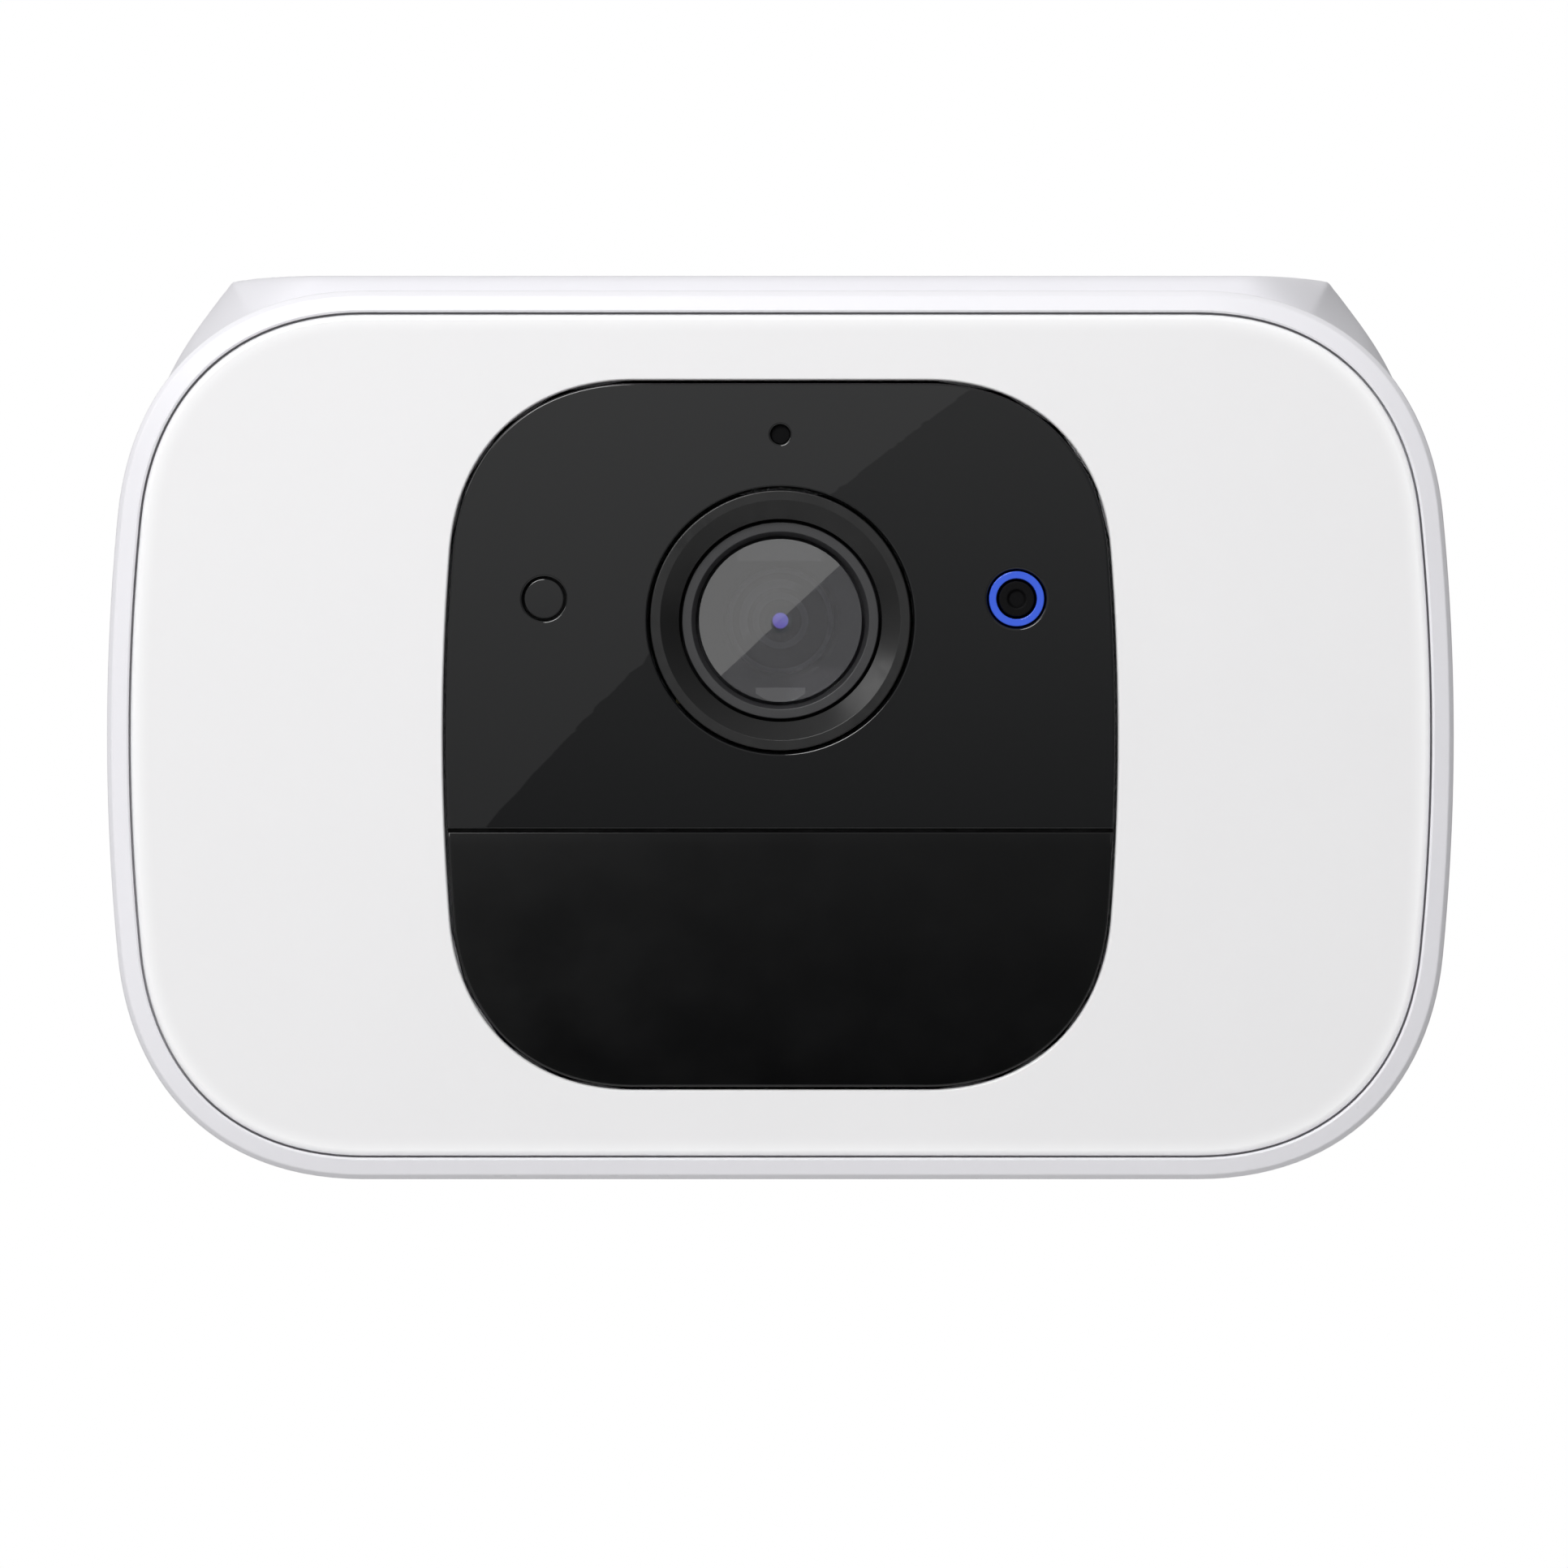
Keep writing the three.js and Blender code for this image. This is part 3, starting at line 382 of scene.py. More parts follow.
class Nodes:
    """The node tree of a material or a world, with short ways to add and join nodes."""

    def __init__(self, owner):
        owner.use_nodes = True
        self.tree = owner.node_tree

    def feed(self, socket, value):
        if isinstance(value, bpy.types.NodeSocket):
            self.tree.links.new(value, socket)
        elif socket.type == "RGBA" and len(value) == 3:
            socket.default_value = (*value, 1)
        else:
            socket.default_value = value

    def node(self, kind, inputs, **settings):
        made = self.tree.nodes.new(kind)
        for key, value in settings.items():
            setattr(made, key, value)
        for socket, value in inputs.items():
            self.feed(made.inputs[socket], value)
        return made

    def add(self, kind, inputs, output=0, **settings):
        """A node of a kind with these settings and inputs, as its output socket."""
        return self.node(kind, inputs, **settings).outputs[output]

    def math(self, operation, *values):
        return self.add("ShaderNodeMath", dict(enumerate(values)), operation=operation)

    def plus(self, a, b):
        return self.math("ADD", a, b)

    def minus(self, a, b):
        return self.math("SUBTRACT", a, b)

    def times(self, a, b):
        return self.math("MULTIPLY", a, b)

    def length(self, a, b):
        return self.math("SQRT", self.plus(self.math("POWER", a, 2.0), self.math("POWER", b, 2.0)))

    def between(self, value, start, end, low=0.0, high=1.0, **settings):
        """A value mapped from the range start to end onto the range low to high, and held there."""
        inputs = {"Value": value, "From Min": start, "From Max": end, "To Min": low, "To Max": high}
        return self.add("ShaderNodeMapRange", inputs, **settings)


class Look(Nodes):
    """A material's node tree. Sizes are in millimetres."""

    def __init__(self, name):
        self.material = bpy.data.materials.new(name)
        super().__init__(self.material)
        self.shader = self.tree.nodes["Principled BSDF"]
        self.position = self.tree.nodes.new("ShaderNodeTexCoord").outputs["Object"]

    def noise(self, size, detail=3.0, roughness=0.5):
        """Noise from 0 to 1 whose features are about that size."""
        inputs = {"Vector": self.position, "Scale": 1 / (size * MM)}
        return self.add("ShaderNodeTexNoise", {**inputs, "Detail": detail, "Roughness": roughness})

    def uneven(self, size, value, share):
        """A value that varies by a share of itself over patches of a size."""
        return self.between(self.noise(size), 0.3, 0.7, value * (1 - share), value * (1 + share))

    def mix(self, factor, first, second):
        return self.add("ShaderNodeMix", {0: factor, 6: first, 7: second}, 2, data_type="RGBA")

    def axes(self, origin=FACE):
        """The position along x, y and z in millimetres from an origin, as three sockets."""
        from_origin = {0: self.position, 1: tuple(origin)}
        moved = self.add("ShaderNodeVectorMath", from_origin, operation="SUBTRACT")
        scaled = self.add("ShaderNodeVectorMath", {0: moved, "Scale": 1 / MM}, operation="SCALE")
        return self.node("ShaderNodeSeparateXYZ", {0: scaled}).outputs

    def edges(self, start=0.51, end=0.57):
        """From 0 on flat ground to 1 on outer edges."""
        return self.between(self.add("ShaderNodeNewGeometry", {}, "Pointiness"), start, end)

    def set(self, **values):
        for name, value in values.items():
            socket = name.replace("_", " ").title().replace("Ior", "IOR")
            self.feed(self.shader.inputs[socket], value)

    def see_through_from_behind(self):
        """Lets a view from behind pass, as when the floor is looked at from below."""
        clear = self.add("ShaderNodeBsdfTransparent", {}, "BSDF")
        behind = self.add("ShaderNodeNewGeometry", {}, "Backfacing")
        either_side = {0: behind, 1: self.shader.outputs[0], 2: clear}
        output = next(n for n in self.tree.nodes if n.bl_idname == "ShaderNodeOutputMaterial")
        self.feed(output.inputs["Surface"], self.add("ShaderNodeMixShader", either_side, "Shader"))

    def relief(self, height, depth, strength=1.0):
        """Bump from a 0 to 1 height that stands for this many millimetres."""
        inputs = {"Height": height, "Distance": depth * MM, "Strength": strength}
        self.set(normal=self.add("ShaderNodeBump", inputs))


def tone(colour, factor):
    return tuple(min(1.0, c * factor) for c in colour)


def moulded(name, colour, roughness, grain=0.3, depth=0.008, mottle=0.015, worn=0.03, **extra):
    """Moulded plastic or rubber: mould grain, faint mottling, uneven gloss and polished edges."""
    look = Look(name)
    base = look.mix(look.noise(11), tone(colour, 1 - mottle), tone(colour, 1 + mottle))
    look.set(base_color=look.mix(look.times(look.edges(), worn), base, tone(colour, 1.25)))
    gloss = look.uneven(2.3, roughness, 0.1)
    look.set(roughness=look.times(gloss, look.between(look.edges(), 0, 1, 1, 0.85)), **extra)
    look.relief(look.noise(grain, 4, 0.6), depth)
    return look.material


def metal(name, colour, roughness, depth=0.0012):
    """Turned or stamped metal: uneven polish, fine marks and brighter rubbed edges."""
    look = Look(name)
    base = look.mix(look.noise(3), tone(colour, 0.88), tone(colour, 1.05))
    look.set(base_color=look.mix(look.times(look.edges(), 0.5), base, tone(colour, 1.2)))
    look.set(metallic=1.0, roughness=look.uneven(0.5, roughness, 0.3))
    look.relief(look.noise(0.15, 5, 0.7), depth)
    return look.material


def opal(name, colour):
    """The floodlight's opal sheet: glossy, with a painted glow along its round edge, where paler colour
    and faint emission stand in for light passing through the edge.
    """
    look = Look(name)
    painted_glow = look.add("ShaderNodeAttribute", {}, "Fac", attribute_name="painted_edge_glow")
    base = look.mix(look.noise(18), tone(colour, 0.992), tone(colour, 1.008))
    # Painted glow: paler colour and faint emission towards the sheet's outer edge.
    look.set(base_color=look.mix(painted_glow, base, (0.96, 0.96, 0.965)))
    look.set(emission_color=look.mix(painted_glow, (0.0, 0.0, 0.0), (0.05, 0.05, 0.05)), emission_strength=1.0)
    look.set(roughness=look.uneven(9, 0.12, 0.15), coat_weight=0.2, coat_roughness=0.03)
    look.relief(look.noise(7, 2), 0.002)
    return look.material


def glossy_sheet(name, colour, roughness, **extra):
    """A polished moulded sheet: near-even colour and faint smears in the gloss."""
    look = Look(name)
    look.set(base_color=look.mix(look.noise(18), tone(colour, 0.985), tone(colour, 1.015)))
    look.set(roughness=look.uneven(7, roughness, 0.2), **extra)
    return look.material


def circuit(name, colour, copper, mask=0.35):
    """A printed circuit board: solder mask over tracks, pads and plated holes."""
    look = Look(name)
    x, _, z = look.axes()
    wander = look.times(look.noise(5, 1), 3.0)
    tracks = look.math("PINGPONG", look.plus(look.plus(x, z), wander), 0.7)
    track = look.between(tracks, 0.28, 0.34)
    voronoi = {"Vector": look.position, "Scale": 1 / (2.6 * MM), "Randomness": 0.45}
    pad = look.between(look.add("ShaderNodeTexVoronoi", voronoi, "Distance"), 0.2, 0.17)
    board = look.mix(track, colour, tone(colour, 1.6))
    look.set(base_color=look.mix(pad, board, copper), metallic=look.times(pad, 0.9))
    look.set(roughness=look.uneven(1.5, mask, 0.2))
    look.relief(look.math("MAXIMUM", track, pad), 0.03)
    return look.material


def solar_cells():
    """Dark cells under a textured sheet, with bus bars along them and fine fingers across."""
    low, high = span("solar_panel")
    look = Look("solar_cells")
    x, y, _ = look.axes(FACE + Vector((low.x, low.y, 0)) * MM)
    width, length = high.x - low.x, high.y - low.y
    columns, rows = 6, 2
    border = 2.2
    field_x, field_y = width - 2 * border, length - 2 * border
    cell_x, cell_y = field_x / columns, field_y / rows
    inner_x, inner_y = look.minus(x, border), look.minus(y, border)

    def line(value, pitch, half_width, offset=0.0):
        """1 on lines at each pitch, 0 between them."""
        moved = look.plus(value, offset)
        return look.between(look.math("PINGPONG", moved, pitch / 2), half_width + 0.06, half_width)

    def within(value, size):
        edge = look.math("MINIMUM", value, look.minus(size, value))
        return look.between(edge, 0.0, 0.1)

    field = look.times(within(inner_x, field_x), within(inner_y, field_y))
    gap = look.math("MAXIMUM", line(inner_x, cell_x, 0.45), line(inner_y, cell_y, 0.45))
    on_cell = look.minus(1.0, gap)
    bus = look.times(line(inner_x, cell_x / 2, 0.28, cell_x / 4), on_cell)
    finger = look.times(line(inner_y, 1.25, 0.05), on_cell)
    silicon = look.mix(look.noise(14, 1), (0.006, 0.009, 0.022), (0.012, 0.018, 0.042))
    cells = look.mix(look.times(finger, 0.35), silicon, (0.30, 0.31, 0.33))
    cells = look.mix(bus, cells, (0.42, 0.43, 0.45))
    cells = look.mix(gap, cells, (0.012, 0.012, 0.014))
    look.set(base_color=look.mix(field, (0.010, 0.010, 0.011), cells))
    look.set(roughness=look.uneven(4, 0.22, 0.25), coat_weight=0.6, coat_roughness=0.12)
    dimples = {"Vector": look.position, "Scale": 1 / (0.9 * MM)}
    look.relief(look.add("ShaderNodeTexVoronoi", dimples, "Distance"), 0.02, 0.6)
    return look.material


def lens_stack_painted_light():
    """Dark lens stack seen through its front element: pupil, aperture and the rings about it, with
    painted light: a painted glint and painted glow on the pupil, a painted crescent reflection and a
    painted shadow ring.
    """
    look = Look("lens_stack_painted_light")
    x, _, z = look.axes(FACE + Vector((0, 0, LENS_Z)) * MM)
    radius = look.length(x, z)
    black, dark, grey = (0.002, 0.002, 0.003), (0.015, 0.015, 0.018), (0.13, 0.13, 0.145)
    violet, blue = (0.30, 0.20, 0.95), (0.13, 0.13, 0.55)
    navy, green = (0.010, 0.011, 0.04), (0.006, 0.030, 0.026)
    # Painted shadow: the band from 3.0 to 4.5 mm is black all round, in place of the shadow inside the
    # lens stack.
    bands = [(0.74, blue), (0.95, navy), (1.12, green), (1.48, black), (2.04, dark), (2.66, grey),
             (3.0, dark), (4.5, black), (4.9, grey)]
    # Painted glint: the pupil's violet turns a paler blue towards the upper right, in place of a
    # reflection.
    colour = look.mix(look.between(look.plus(x, z), -0.6, 0.6), violet, (0.24, 0.34, 1.0))
    for (edge, _), (_, after) in zip(bands, bands[1:]):
        colour = look.mix(look.between(radius, edge - 0.05, edge + 0.05), colour, after)
    # Painted reflection: a pale crescent on the upper left of the ring from 3.1 to 3.9 mm.
    ring = look.times(look.between(radius, 3.05, 3.15), look.between(radius, 3.85, 3.95, 1.0, 0.0))
    painted_crescent_reflection = look.times(ring, look.between(look.minus(z, x), 1.0, 2.2))
    colour = look.mix(painted_crescent_reflection, colour, (0.17, 0.17, 0.185))
    look.set(base_color=colour, roughness=look.uneven(1.5, 0.42, 0.1), specular_ior_level=0.2)
    # Painted glow: the pupil emits violet light of its own, in place of its reflection.
    painted_pupil_glow = look.between(radius, 0.7, 0.8, 1.0, 0.0)
    look.set(emission_color=look.mix(painted_pupil_glow, (0.0, 0.0, 0.0), (0.15, 0.11, 0.62)))
    look.set(emission_strength=1.0)
    look.relief(look.noise(1.2, 1), 0.001)
    return look.material


def clear_glass():
    look = Look("lens_glass")
    look.set(base_color=look.mix(look.noise(5), (0.48, 0.48, 0.51), (0.52, 0.52, 0.55)))
    look.set(roughness=look.uneven(3, 0.012, 0.4), ior=2.2, transmission_weight=1.0)
    look.relief(look.noise(2.5, 1), 0.0006)
    return look.material


WHITE = (0.83, 0.822, 0.862)
LOOKS = dict(
    white_shell=moulded("white_shell", WHITE, 0.4),
    white_rim=moulded("white_rim", (0.84, 0.833, 0.868), 0.34, depth=0.003, mottle=0.006, worn=0.0),
    diffuser=opal("opal_diffuser", (0.87, 0.865, 0.873)),
    black_gloss=glossy_sheet("black_gloss", (0.0045, 0.0048, 0.0052), 0.003),
    black_ring=moulded("black_ring", (0.002, 0.002, 0.0022), 0.34, depth=0.0, mottle=0.1),
    black_satin=glossy_sheet("black_satin", (0.0018, 0.0019, 0.0021), 0.05),
    black_matt=moulded("black_matt", (0.012, 0.012, 0.013), 0.55, mottle=0.2),
    black_core=moulded("black_core", (0.005, 0.005, 0.0054), 0.5, mottle=0.1, specular_ior_level=0.04),
    barrel_grey=moulded("barrel_grey", (0.045, 0.045, 0.048), 0.8, mottle=0.1,
                        specular_ior_level=0.1),
    retainer_grey=moulded("retainer_grey", (0.03, 0.03, 0.032), 0.42, 0.12, 0.003, 0.1),
    lens_glass=clear_glass(),
    lens_stack=lens_stack_painted_light(),
    blue_light=glossy_sheet("blue_light", (0.035, 0.10, 0.62), 0.2, emission_color=(0.03, 0.09, 0.70),
                            emission_strength=0.12),
    black_rubber=moulded("black_rubber", (0.016, 0.016, 0.017), 0.75, 0.5, 0.02, 0.25),
    white_rubber=moulded("white_rubber", (0.70, 0.693, 0.725), 0.6, grain=0.5, depth=0.015),
    circuit_board=circuit("circuit_board", (0.012, 0.075, 0.04), (0.6, 0.5, 0.25)),
    white_board=circuit("white_board", (0.74, 0.74, 0.71), (0.62, 0.6, 0.5), 0.5),
    aluminium=metal("aluminium", (0.66, 0.67, 0.69), 0.38),
    steel=metal("steel", (0.56, 0.565, 0.58), 0.27),
    brass=metal("brass", (0.62, 0.42, 0.16), 0.3),
    cell_wrap=moulded("cell_wrap", (0.02, 0.14, 0.40), 0.32, grain=2.0, depth=0.02, mottle=0.08),
    solar_glass=solar_cells(),
)


def piece(made, look, body, *nodes, origin=FACE, sharp=35):
    """A finished piece with a look of the list above, in place of CAD nodes."""
    return place(made, LOOKS[look], body, nodes, origin, sharp)


def turned_piece(node, look, profile, x=0.0, z=0.0, count=96, sharp=35):
    """A lathe piece of the camera in place of one CAD node."""
    piece(turned(f"{node}_fine", profile, x, z, count), look, "camera", node, sharp=sharp)


# ---------------- front face


def rim():
    back_lip = 4.6
    section = filleted([
        (0, RIM_DEPTH, 0.2), (0, 1.2, 0.8), (0.45, 0.5, 0.4), (1.95, 0, 0.16), (2.15, 0.12, 0.06),
        (2.15, 3.1), (4.7, 3.1, 0.1), (4.7, back_lip, 0.1), (2.0, back_lip), (2.0, RIM_DEPTH, 0.1),
    ])
    made = swept("bezel_ring_fine", lambda d: outline(inset(RIM, d)), section)
    piece(made, "white_rim", "camera", "bezel_ring", sharp=60)


def diffuser():
    def rim_edge(d):
        return outline(inset(RIM, DIFFUSER_INSET + d))

    def opening(d):
        return outline(inset(PANEL, -0.25 - 0.45 * d))

    flat = [(inset_by, 0.3) for inset_by in (3.4, 2.9, 2.4, 2.0, 1.6, 1.3, 1.1)]
    section = flat + softened(0.3, PLATE_BACK, 0.6, 0.15, 6)
    made = plate("light_diffuser_fine", [rim_edge, opening], section)
    # Painted glow: the diffuser is paler and faintly emissive towards its outer edge.
    painted_glow = made.data.attributes.new("painted_edge_glow", "FLOAT", "POINT")
    painted_glow.data.foreach_set("value", painted_edge_glow(made.data))
    piece(made, "diffuser", "camera", "light_diffuser")


def painted_edge_glow(mesh):
    """How near each point of the diffuser is to its rim, from 0 well inside to 1 at the edge, as the
    strength of the painted glow there.
    """
    fade = 1.9
    distance = distance_table(outline(inset(RIM, DIFFUSER_INSET)))
    points = np.array([v.co for v in mesh.vertices])
    return np.clip(1 + distance(points[:, 0], points[:, 2]) / fade, 0, 1) ** 1.5


def black_windows():
    half_seam = 0.15
    section = softened(0.2, PLATE_BACK, 0.22, 0.1)

    def hole(radius, x=0.0, z=0.0, count=96):
        return lambda d: circle(radius + d, count, x, z)

    def upper(d):
        return cut_off(outline(inset(PANEL, d)), SPLIT_Z + half_seam + 0.6 * d, True)

    holes = [hole(13.25, z=LENS_Z), hole(0.97, z=MICROPHONE_Z, count=32),
             hole(2.2, -LIGHT.x, LIGHT.z, 48), hole(2.95, LIGHT.x, LIGHT.z, 64)]
    made = plate("lens_fascia_fine", [upper, *holes], section)
    piece(made, "black_gloss", "camera", "lens_fascia")

    def lower(d):
        return cut_off(outline(inset(PANEL, d)), SPLIT_Z - half_seam - 0.6 * d, False)

    made = plate("sensor_window_fine", [lower], section)
    piece(made, "black_satin", "camera", "sensor_window")


def lens():
    trim = filleted([
        (12.95, 6), (12.95, -0.2, 0.14), (11.95, -0.2, 0.1), (10.1, 1.3, 0.05), (10.1, 6),
    ])
    turned_piece("lens_trim_ring", "black_ring", trim, z=LENS_Z, count=160)
    retainer = filleted([(9.8, 4.5), (9.8, 2.1, 0.12), (8.85, 2.1, 0.1), (8.45, 2.8, 0.1), (8.45, 4.5)])
    made = turned("lens_retainer_fine", retainer, z=LENS_Z, count=160)
    piece(made, "retainer_grey", "camera", "lens_retainer_ring")
    crown, edge_depth, radius = 1.85, 2.2, 8.15
    dome = [(radius * k / 16, crown + (edge_depth - crown) * (k / 16) ** 2) for k in range(17)]
    glass = [*dome[:-1], (radius - 0.05, edge_depth - 0.01), (radius, edge_depth + 0.06),
             (radius, 4.4), (0, 4.4)]
    turned_piece("lens_cover_glass", "lens_glass", glass, z=LENS_Z, count=160, sharp=50)

    baffles = [(7.9 - 0.42 * k, 5.0 + 0.4 * k + 0.25 * step) for k in range(6) for step in (0, 1)]
    barrel = [(7.9, 4.9), (9.7, 4.9), (9.7, 6.4), (12.6, 6.4), (12.6, 8), (9.6, 8), (9.6, 16.5),
              (4, 16.5), (4, 11), (5.4, 11), (5.4, 7.6), *baffles[:0:-1]]
    turned_piece("lens_barrel", "barrel_grey", barrel, z=LENS_Z)
    front, back, rise = 6.6, 10.4, 1.4
    element = [(4.9 * k / 20, front + rise * (k / 20) ** 2) for k in range(21)]
    element += [(4.9, back), (0, back)]
    turned_piece("front_lens_element", "lens_stack", element, z=LENS_Z, sharp=50)


def indicators():
    x, z = LIGHT.x, LIGHT.z
    ring = filleted([(2.02, 5.2), (2.02, 0.3, 0.1), (2.74, 0.3, 0.1), (2.74, 5.2)])
    turned_piece("status_light_ring", "blue_light", ring, x, z)
    core = [(0, 0.75), (0.7, 0.75), (0.85, 0.62), (0.95, 0.38), (1.1, 0.3), (1.6, 0.3), (1.72, 0.34),
            (1.75, 0.45), (1.75, 5.5), (4, 5.5), (4, 6.5), (0, 6.5)]
    turned_piece("status_light_core", "black_core", core, x, z)
    mesh_front = 0.9
    screen = [(0, mesh_front), (0.9, mesh_front), (0.9, mesh_front + 0.2), (0, mesh_front + 0.2)]
    piece(turned("microphone_screen", screen, 0, MICROPHONE_Z, 32), "black_core", "camera")
    window = [(0, 0.3), (1.85, 0.3), (1.94, 0.34), (1.98, 0.44), (1.98, PLATE_BACK), (0, PLATE_BACK)]
    turned_piece("light_sensor_window", "black_gloss", window, -x, z)


# ---------------- rear housing


def roof_section():
    """The quarter outline above the middle: bowed side, flank, sharp shoulder and nearly flat roof."""
    form = inset(RIM, 1.2)
    side = quarter(form)[:10]
    side_x, side_z = form["x"] - form["bow"], form["z"] - form["corner_z"]
    x, z = SHOULDER
    flank = bezier([(side_x, side_z), (side_x - 0.9, side_z + 12.5), (x + 5.1, z - 6.3), SHOULDER], 24)
    edge = bezier([SHOULDER, (x - 0.6, z + 0.12), (x - 2.6, ROOF_TOP), (x - 8, ROOF_TOP)], 12)
    flat = straight((x - 8, ROOF_TOP), (0, ROOF_TOP), 8)
    return np.vstack([side, flank, edge, flat, [(0, ROOF_TOP)]])


def distance_table(loop, step=0.4):
    """A function for the signed distance to a closed outline, read from a table on a fine grid."""
    reach = np.abs(loop).max(axis=0) + 8
    xs, zs = (np.arange(-r, r + step, step) for r in reach)
    x, z = np.meshgrid(xs, zs, indexing="ij")
    nearest, inside = np.full(x.shape, np.inf), np.zeros(x.shape, bool)
    for (ax, az), (bx, bz) in zip(loop, np.roll(loop, -1, axis=0)):
        ex, ez = bx - ax, bz - az
        along = np.clip(((x - ax) * ex + (z - az) * ez) / (ex * ex + ez * ez), 0, 1)
        nearest = np.minimum(nearest, (x - ax - along * ex) ** 2 + (z - az - along * ez) ** 2)
        if az != bz:
            inside ^= ((az > z) != (bz > z)) & (x < ax + (z - az) * ex / ez)
    table = np.where(inside, -1, 1) * np.sqrt(nearest)

    def distance(x, z):
        u = np.clip((x - xs[0]) / step, 0, len(xs) - 1.001)
        w = np.clip((z - zs[0]) / step, 0, len(zs) - 1.001)
        i, j = u.astype(int), w.astype(int)
        u, w = u - i, w - j
        low = table[i, j] * (1 - u) + table[i + 1, j] * u
        high = table[i, j + 1] * (1 - u) + table[i + 1, j + 1] * u
        return low * (1 - w) + high * w

    return distance


def both(a, b, radius):
    """The distance to what two forms share, with the corner between them rounded."""
    corner = np.hypot(np.maximum(radius + a, 0), np.maximum(radius + b, 0))
    return np.minimum(-radius, np.maximum(a, b)) + corner


def either(a, b, radius):
    """The distance to two forms together, with the hollow between them filled to a radius."""
    corner = np.hypot(np.maximum(radius - a, 0), np.maximum(radius - b, 0))
    return np.maximum(radius, np.minimum(a, b)) - corner


def net(name, distance, xs, ys, zs):
    """A closed mesh of quads where a distance function of x, y and z is zero."""
    x, y, z = np.meshgrid(xs, ys, zs, indexing="ij")
    value = distance(x, y, z)
    shape = tuple(n - 1 for n in value.shape)
    total, count = np.zeros((*shape, 3)), np.zeros(shape, int)
    corners = [(i, j, k) for i in (0, 1) for j in (0, 1) for k in (0, 1)]

    def corner(array, offset):
        return array[tuple(slice(o, o + n) for o, n in zip(offset, shape))]

    for a in corners:
        for axis in range(3):
            if a[axis]:
                continue
            b = tuple(1 if i == axis else v for i, v in enumerate(a))
            va, vb = corner(value, a), corner(value, b)
            mixed = (va < 0) != (vb < 0)
            t = np.where(mixed, va / np.where(mixed, va - vb, 1), 0)
            for i, grid in enumerate((x, y, z)):
                ga, gb = corner(grid, a), corner(grid, b)
                total[..., i] += np.where(mixed, ga + (gb - ga) * t, 0)
            count += mixed
    used = count > 0
    index = np.full(shape, -1)
    index[used] = np.arange(used.sum())
    points = total[used] / count[used][:, None]
    faces = []
    for axis in range(3):
        u, w = (axis + 1) % 3, (axis + 2) % 3
        crossed = (np.diff(value < 0, axis=axis)).nonzero()
        place_of = np.array(crossed).T
        keep = (place_of[:, u] > 0) & (place_of[:, w] > 0)
        keep &= (place_of[:, u] < value.shape[u] - 1) & (place_of[:, w] < value.shape[w] - 1)
        place_of = place_of[keep]
        ring = []
        for du, dw in ((-1, -1), (0, -1), (0, 0), (-1, 0)):
            cell = place_of.copy()
            cell[:, u] += du
            cell[:, w] += dw
            ring.append(index[tuple(cell.T)])
        faces += np.array(ring).T.tolist()
    nudge = 0.02
    for _ in range(4):
        here = distance(*points.T)
        slope = np.stack([(distance(*(points + way).T) - distance(*(points - way).T)) / (2 * nudge)
                          for way in nudge * np.eye(3)], axis=1)
        step = here / np.maximum((slope**2).sum(axis=1), 0.1)
        points = points - np.clip(step, -0.4, 0.4)[:, None] * slope
    return mesh_object(name, points, faces)


def housing_form():
    """The housing's outside as a distance function, without its open front."""
    front_section = distance_table(outline(inset(RIM, 0.9)))
    roof = distance_table(closed(roof_section(), quarter(inset(RIM, 1.2))), 0.2)
    start = RIM_DEPTH + 0.5

    def distance(x, y, z):
        outward = np.clip((np.abs(x) - 46) / 12, 0, 1)
        outward = outward * outward * (3 - 2 * outward)
        grown = ROOF_FRONT + (FLANK_BACK - ROOF_FRONT) * outward
        back = np.maximum(y - grown, 0) / (ROOF_BACK - ROOF_FRONT)
        wide = x / (1 - (1 - ROOF_TAPER) * back)
        tall = np.where(z > 0, z / (1 - ROOF_FALL / ROOF_TOP * back), z)
        share = np.clip((y - start) / (grown - start), 0, 1)
        growth = (1 - (1 - share) ** 2.2) * (1 - outward) + share * share * (3 - 2 * share) * outward
        section = front_section(wide, tall) * (1 - growth) + roof(wide, tall) * growth
        eave = both(EAVE_UNDERSIDE - z, y - ROOF_BACK, 2.6)
        profile = either(y - BODY_BACK, eave, EAVE_SWEEP)
        high = np.clip((z - 8) / (EAVE_UNDERSIDE - 8), 0, 1)
        return both(section, profile, 10 - 7.2 * high * high * (3 - 2 * high))

    return distance


def stacked(*runs):
    """Grid places made of runs of (start, end, step), each up to the next one's start."""
    return np.concatenate([np.linspace(a, b, max(2, round((b - a) / s) + 1))[:-1] for a, b, s in runs])


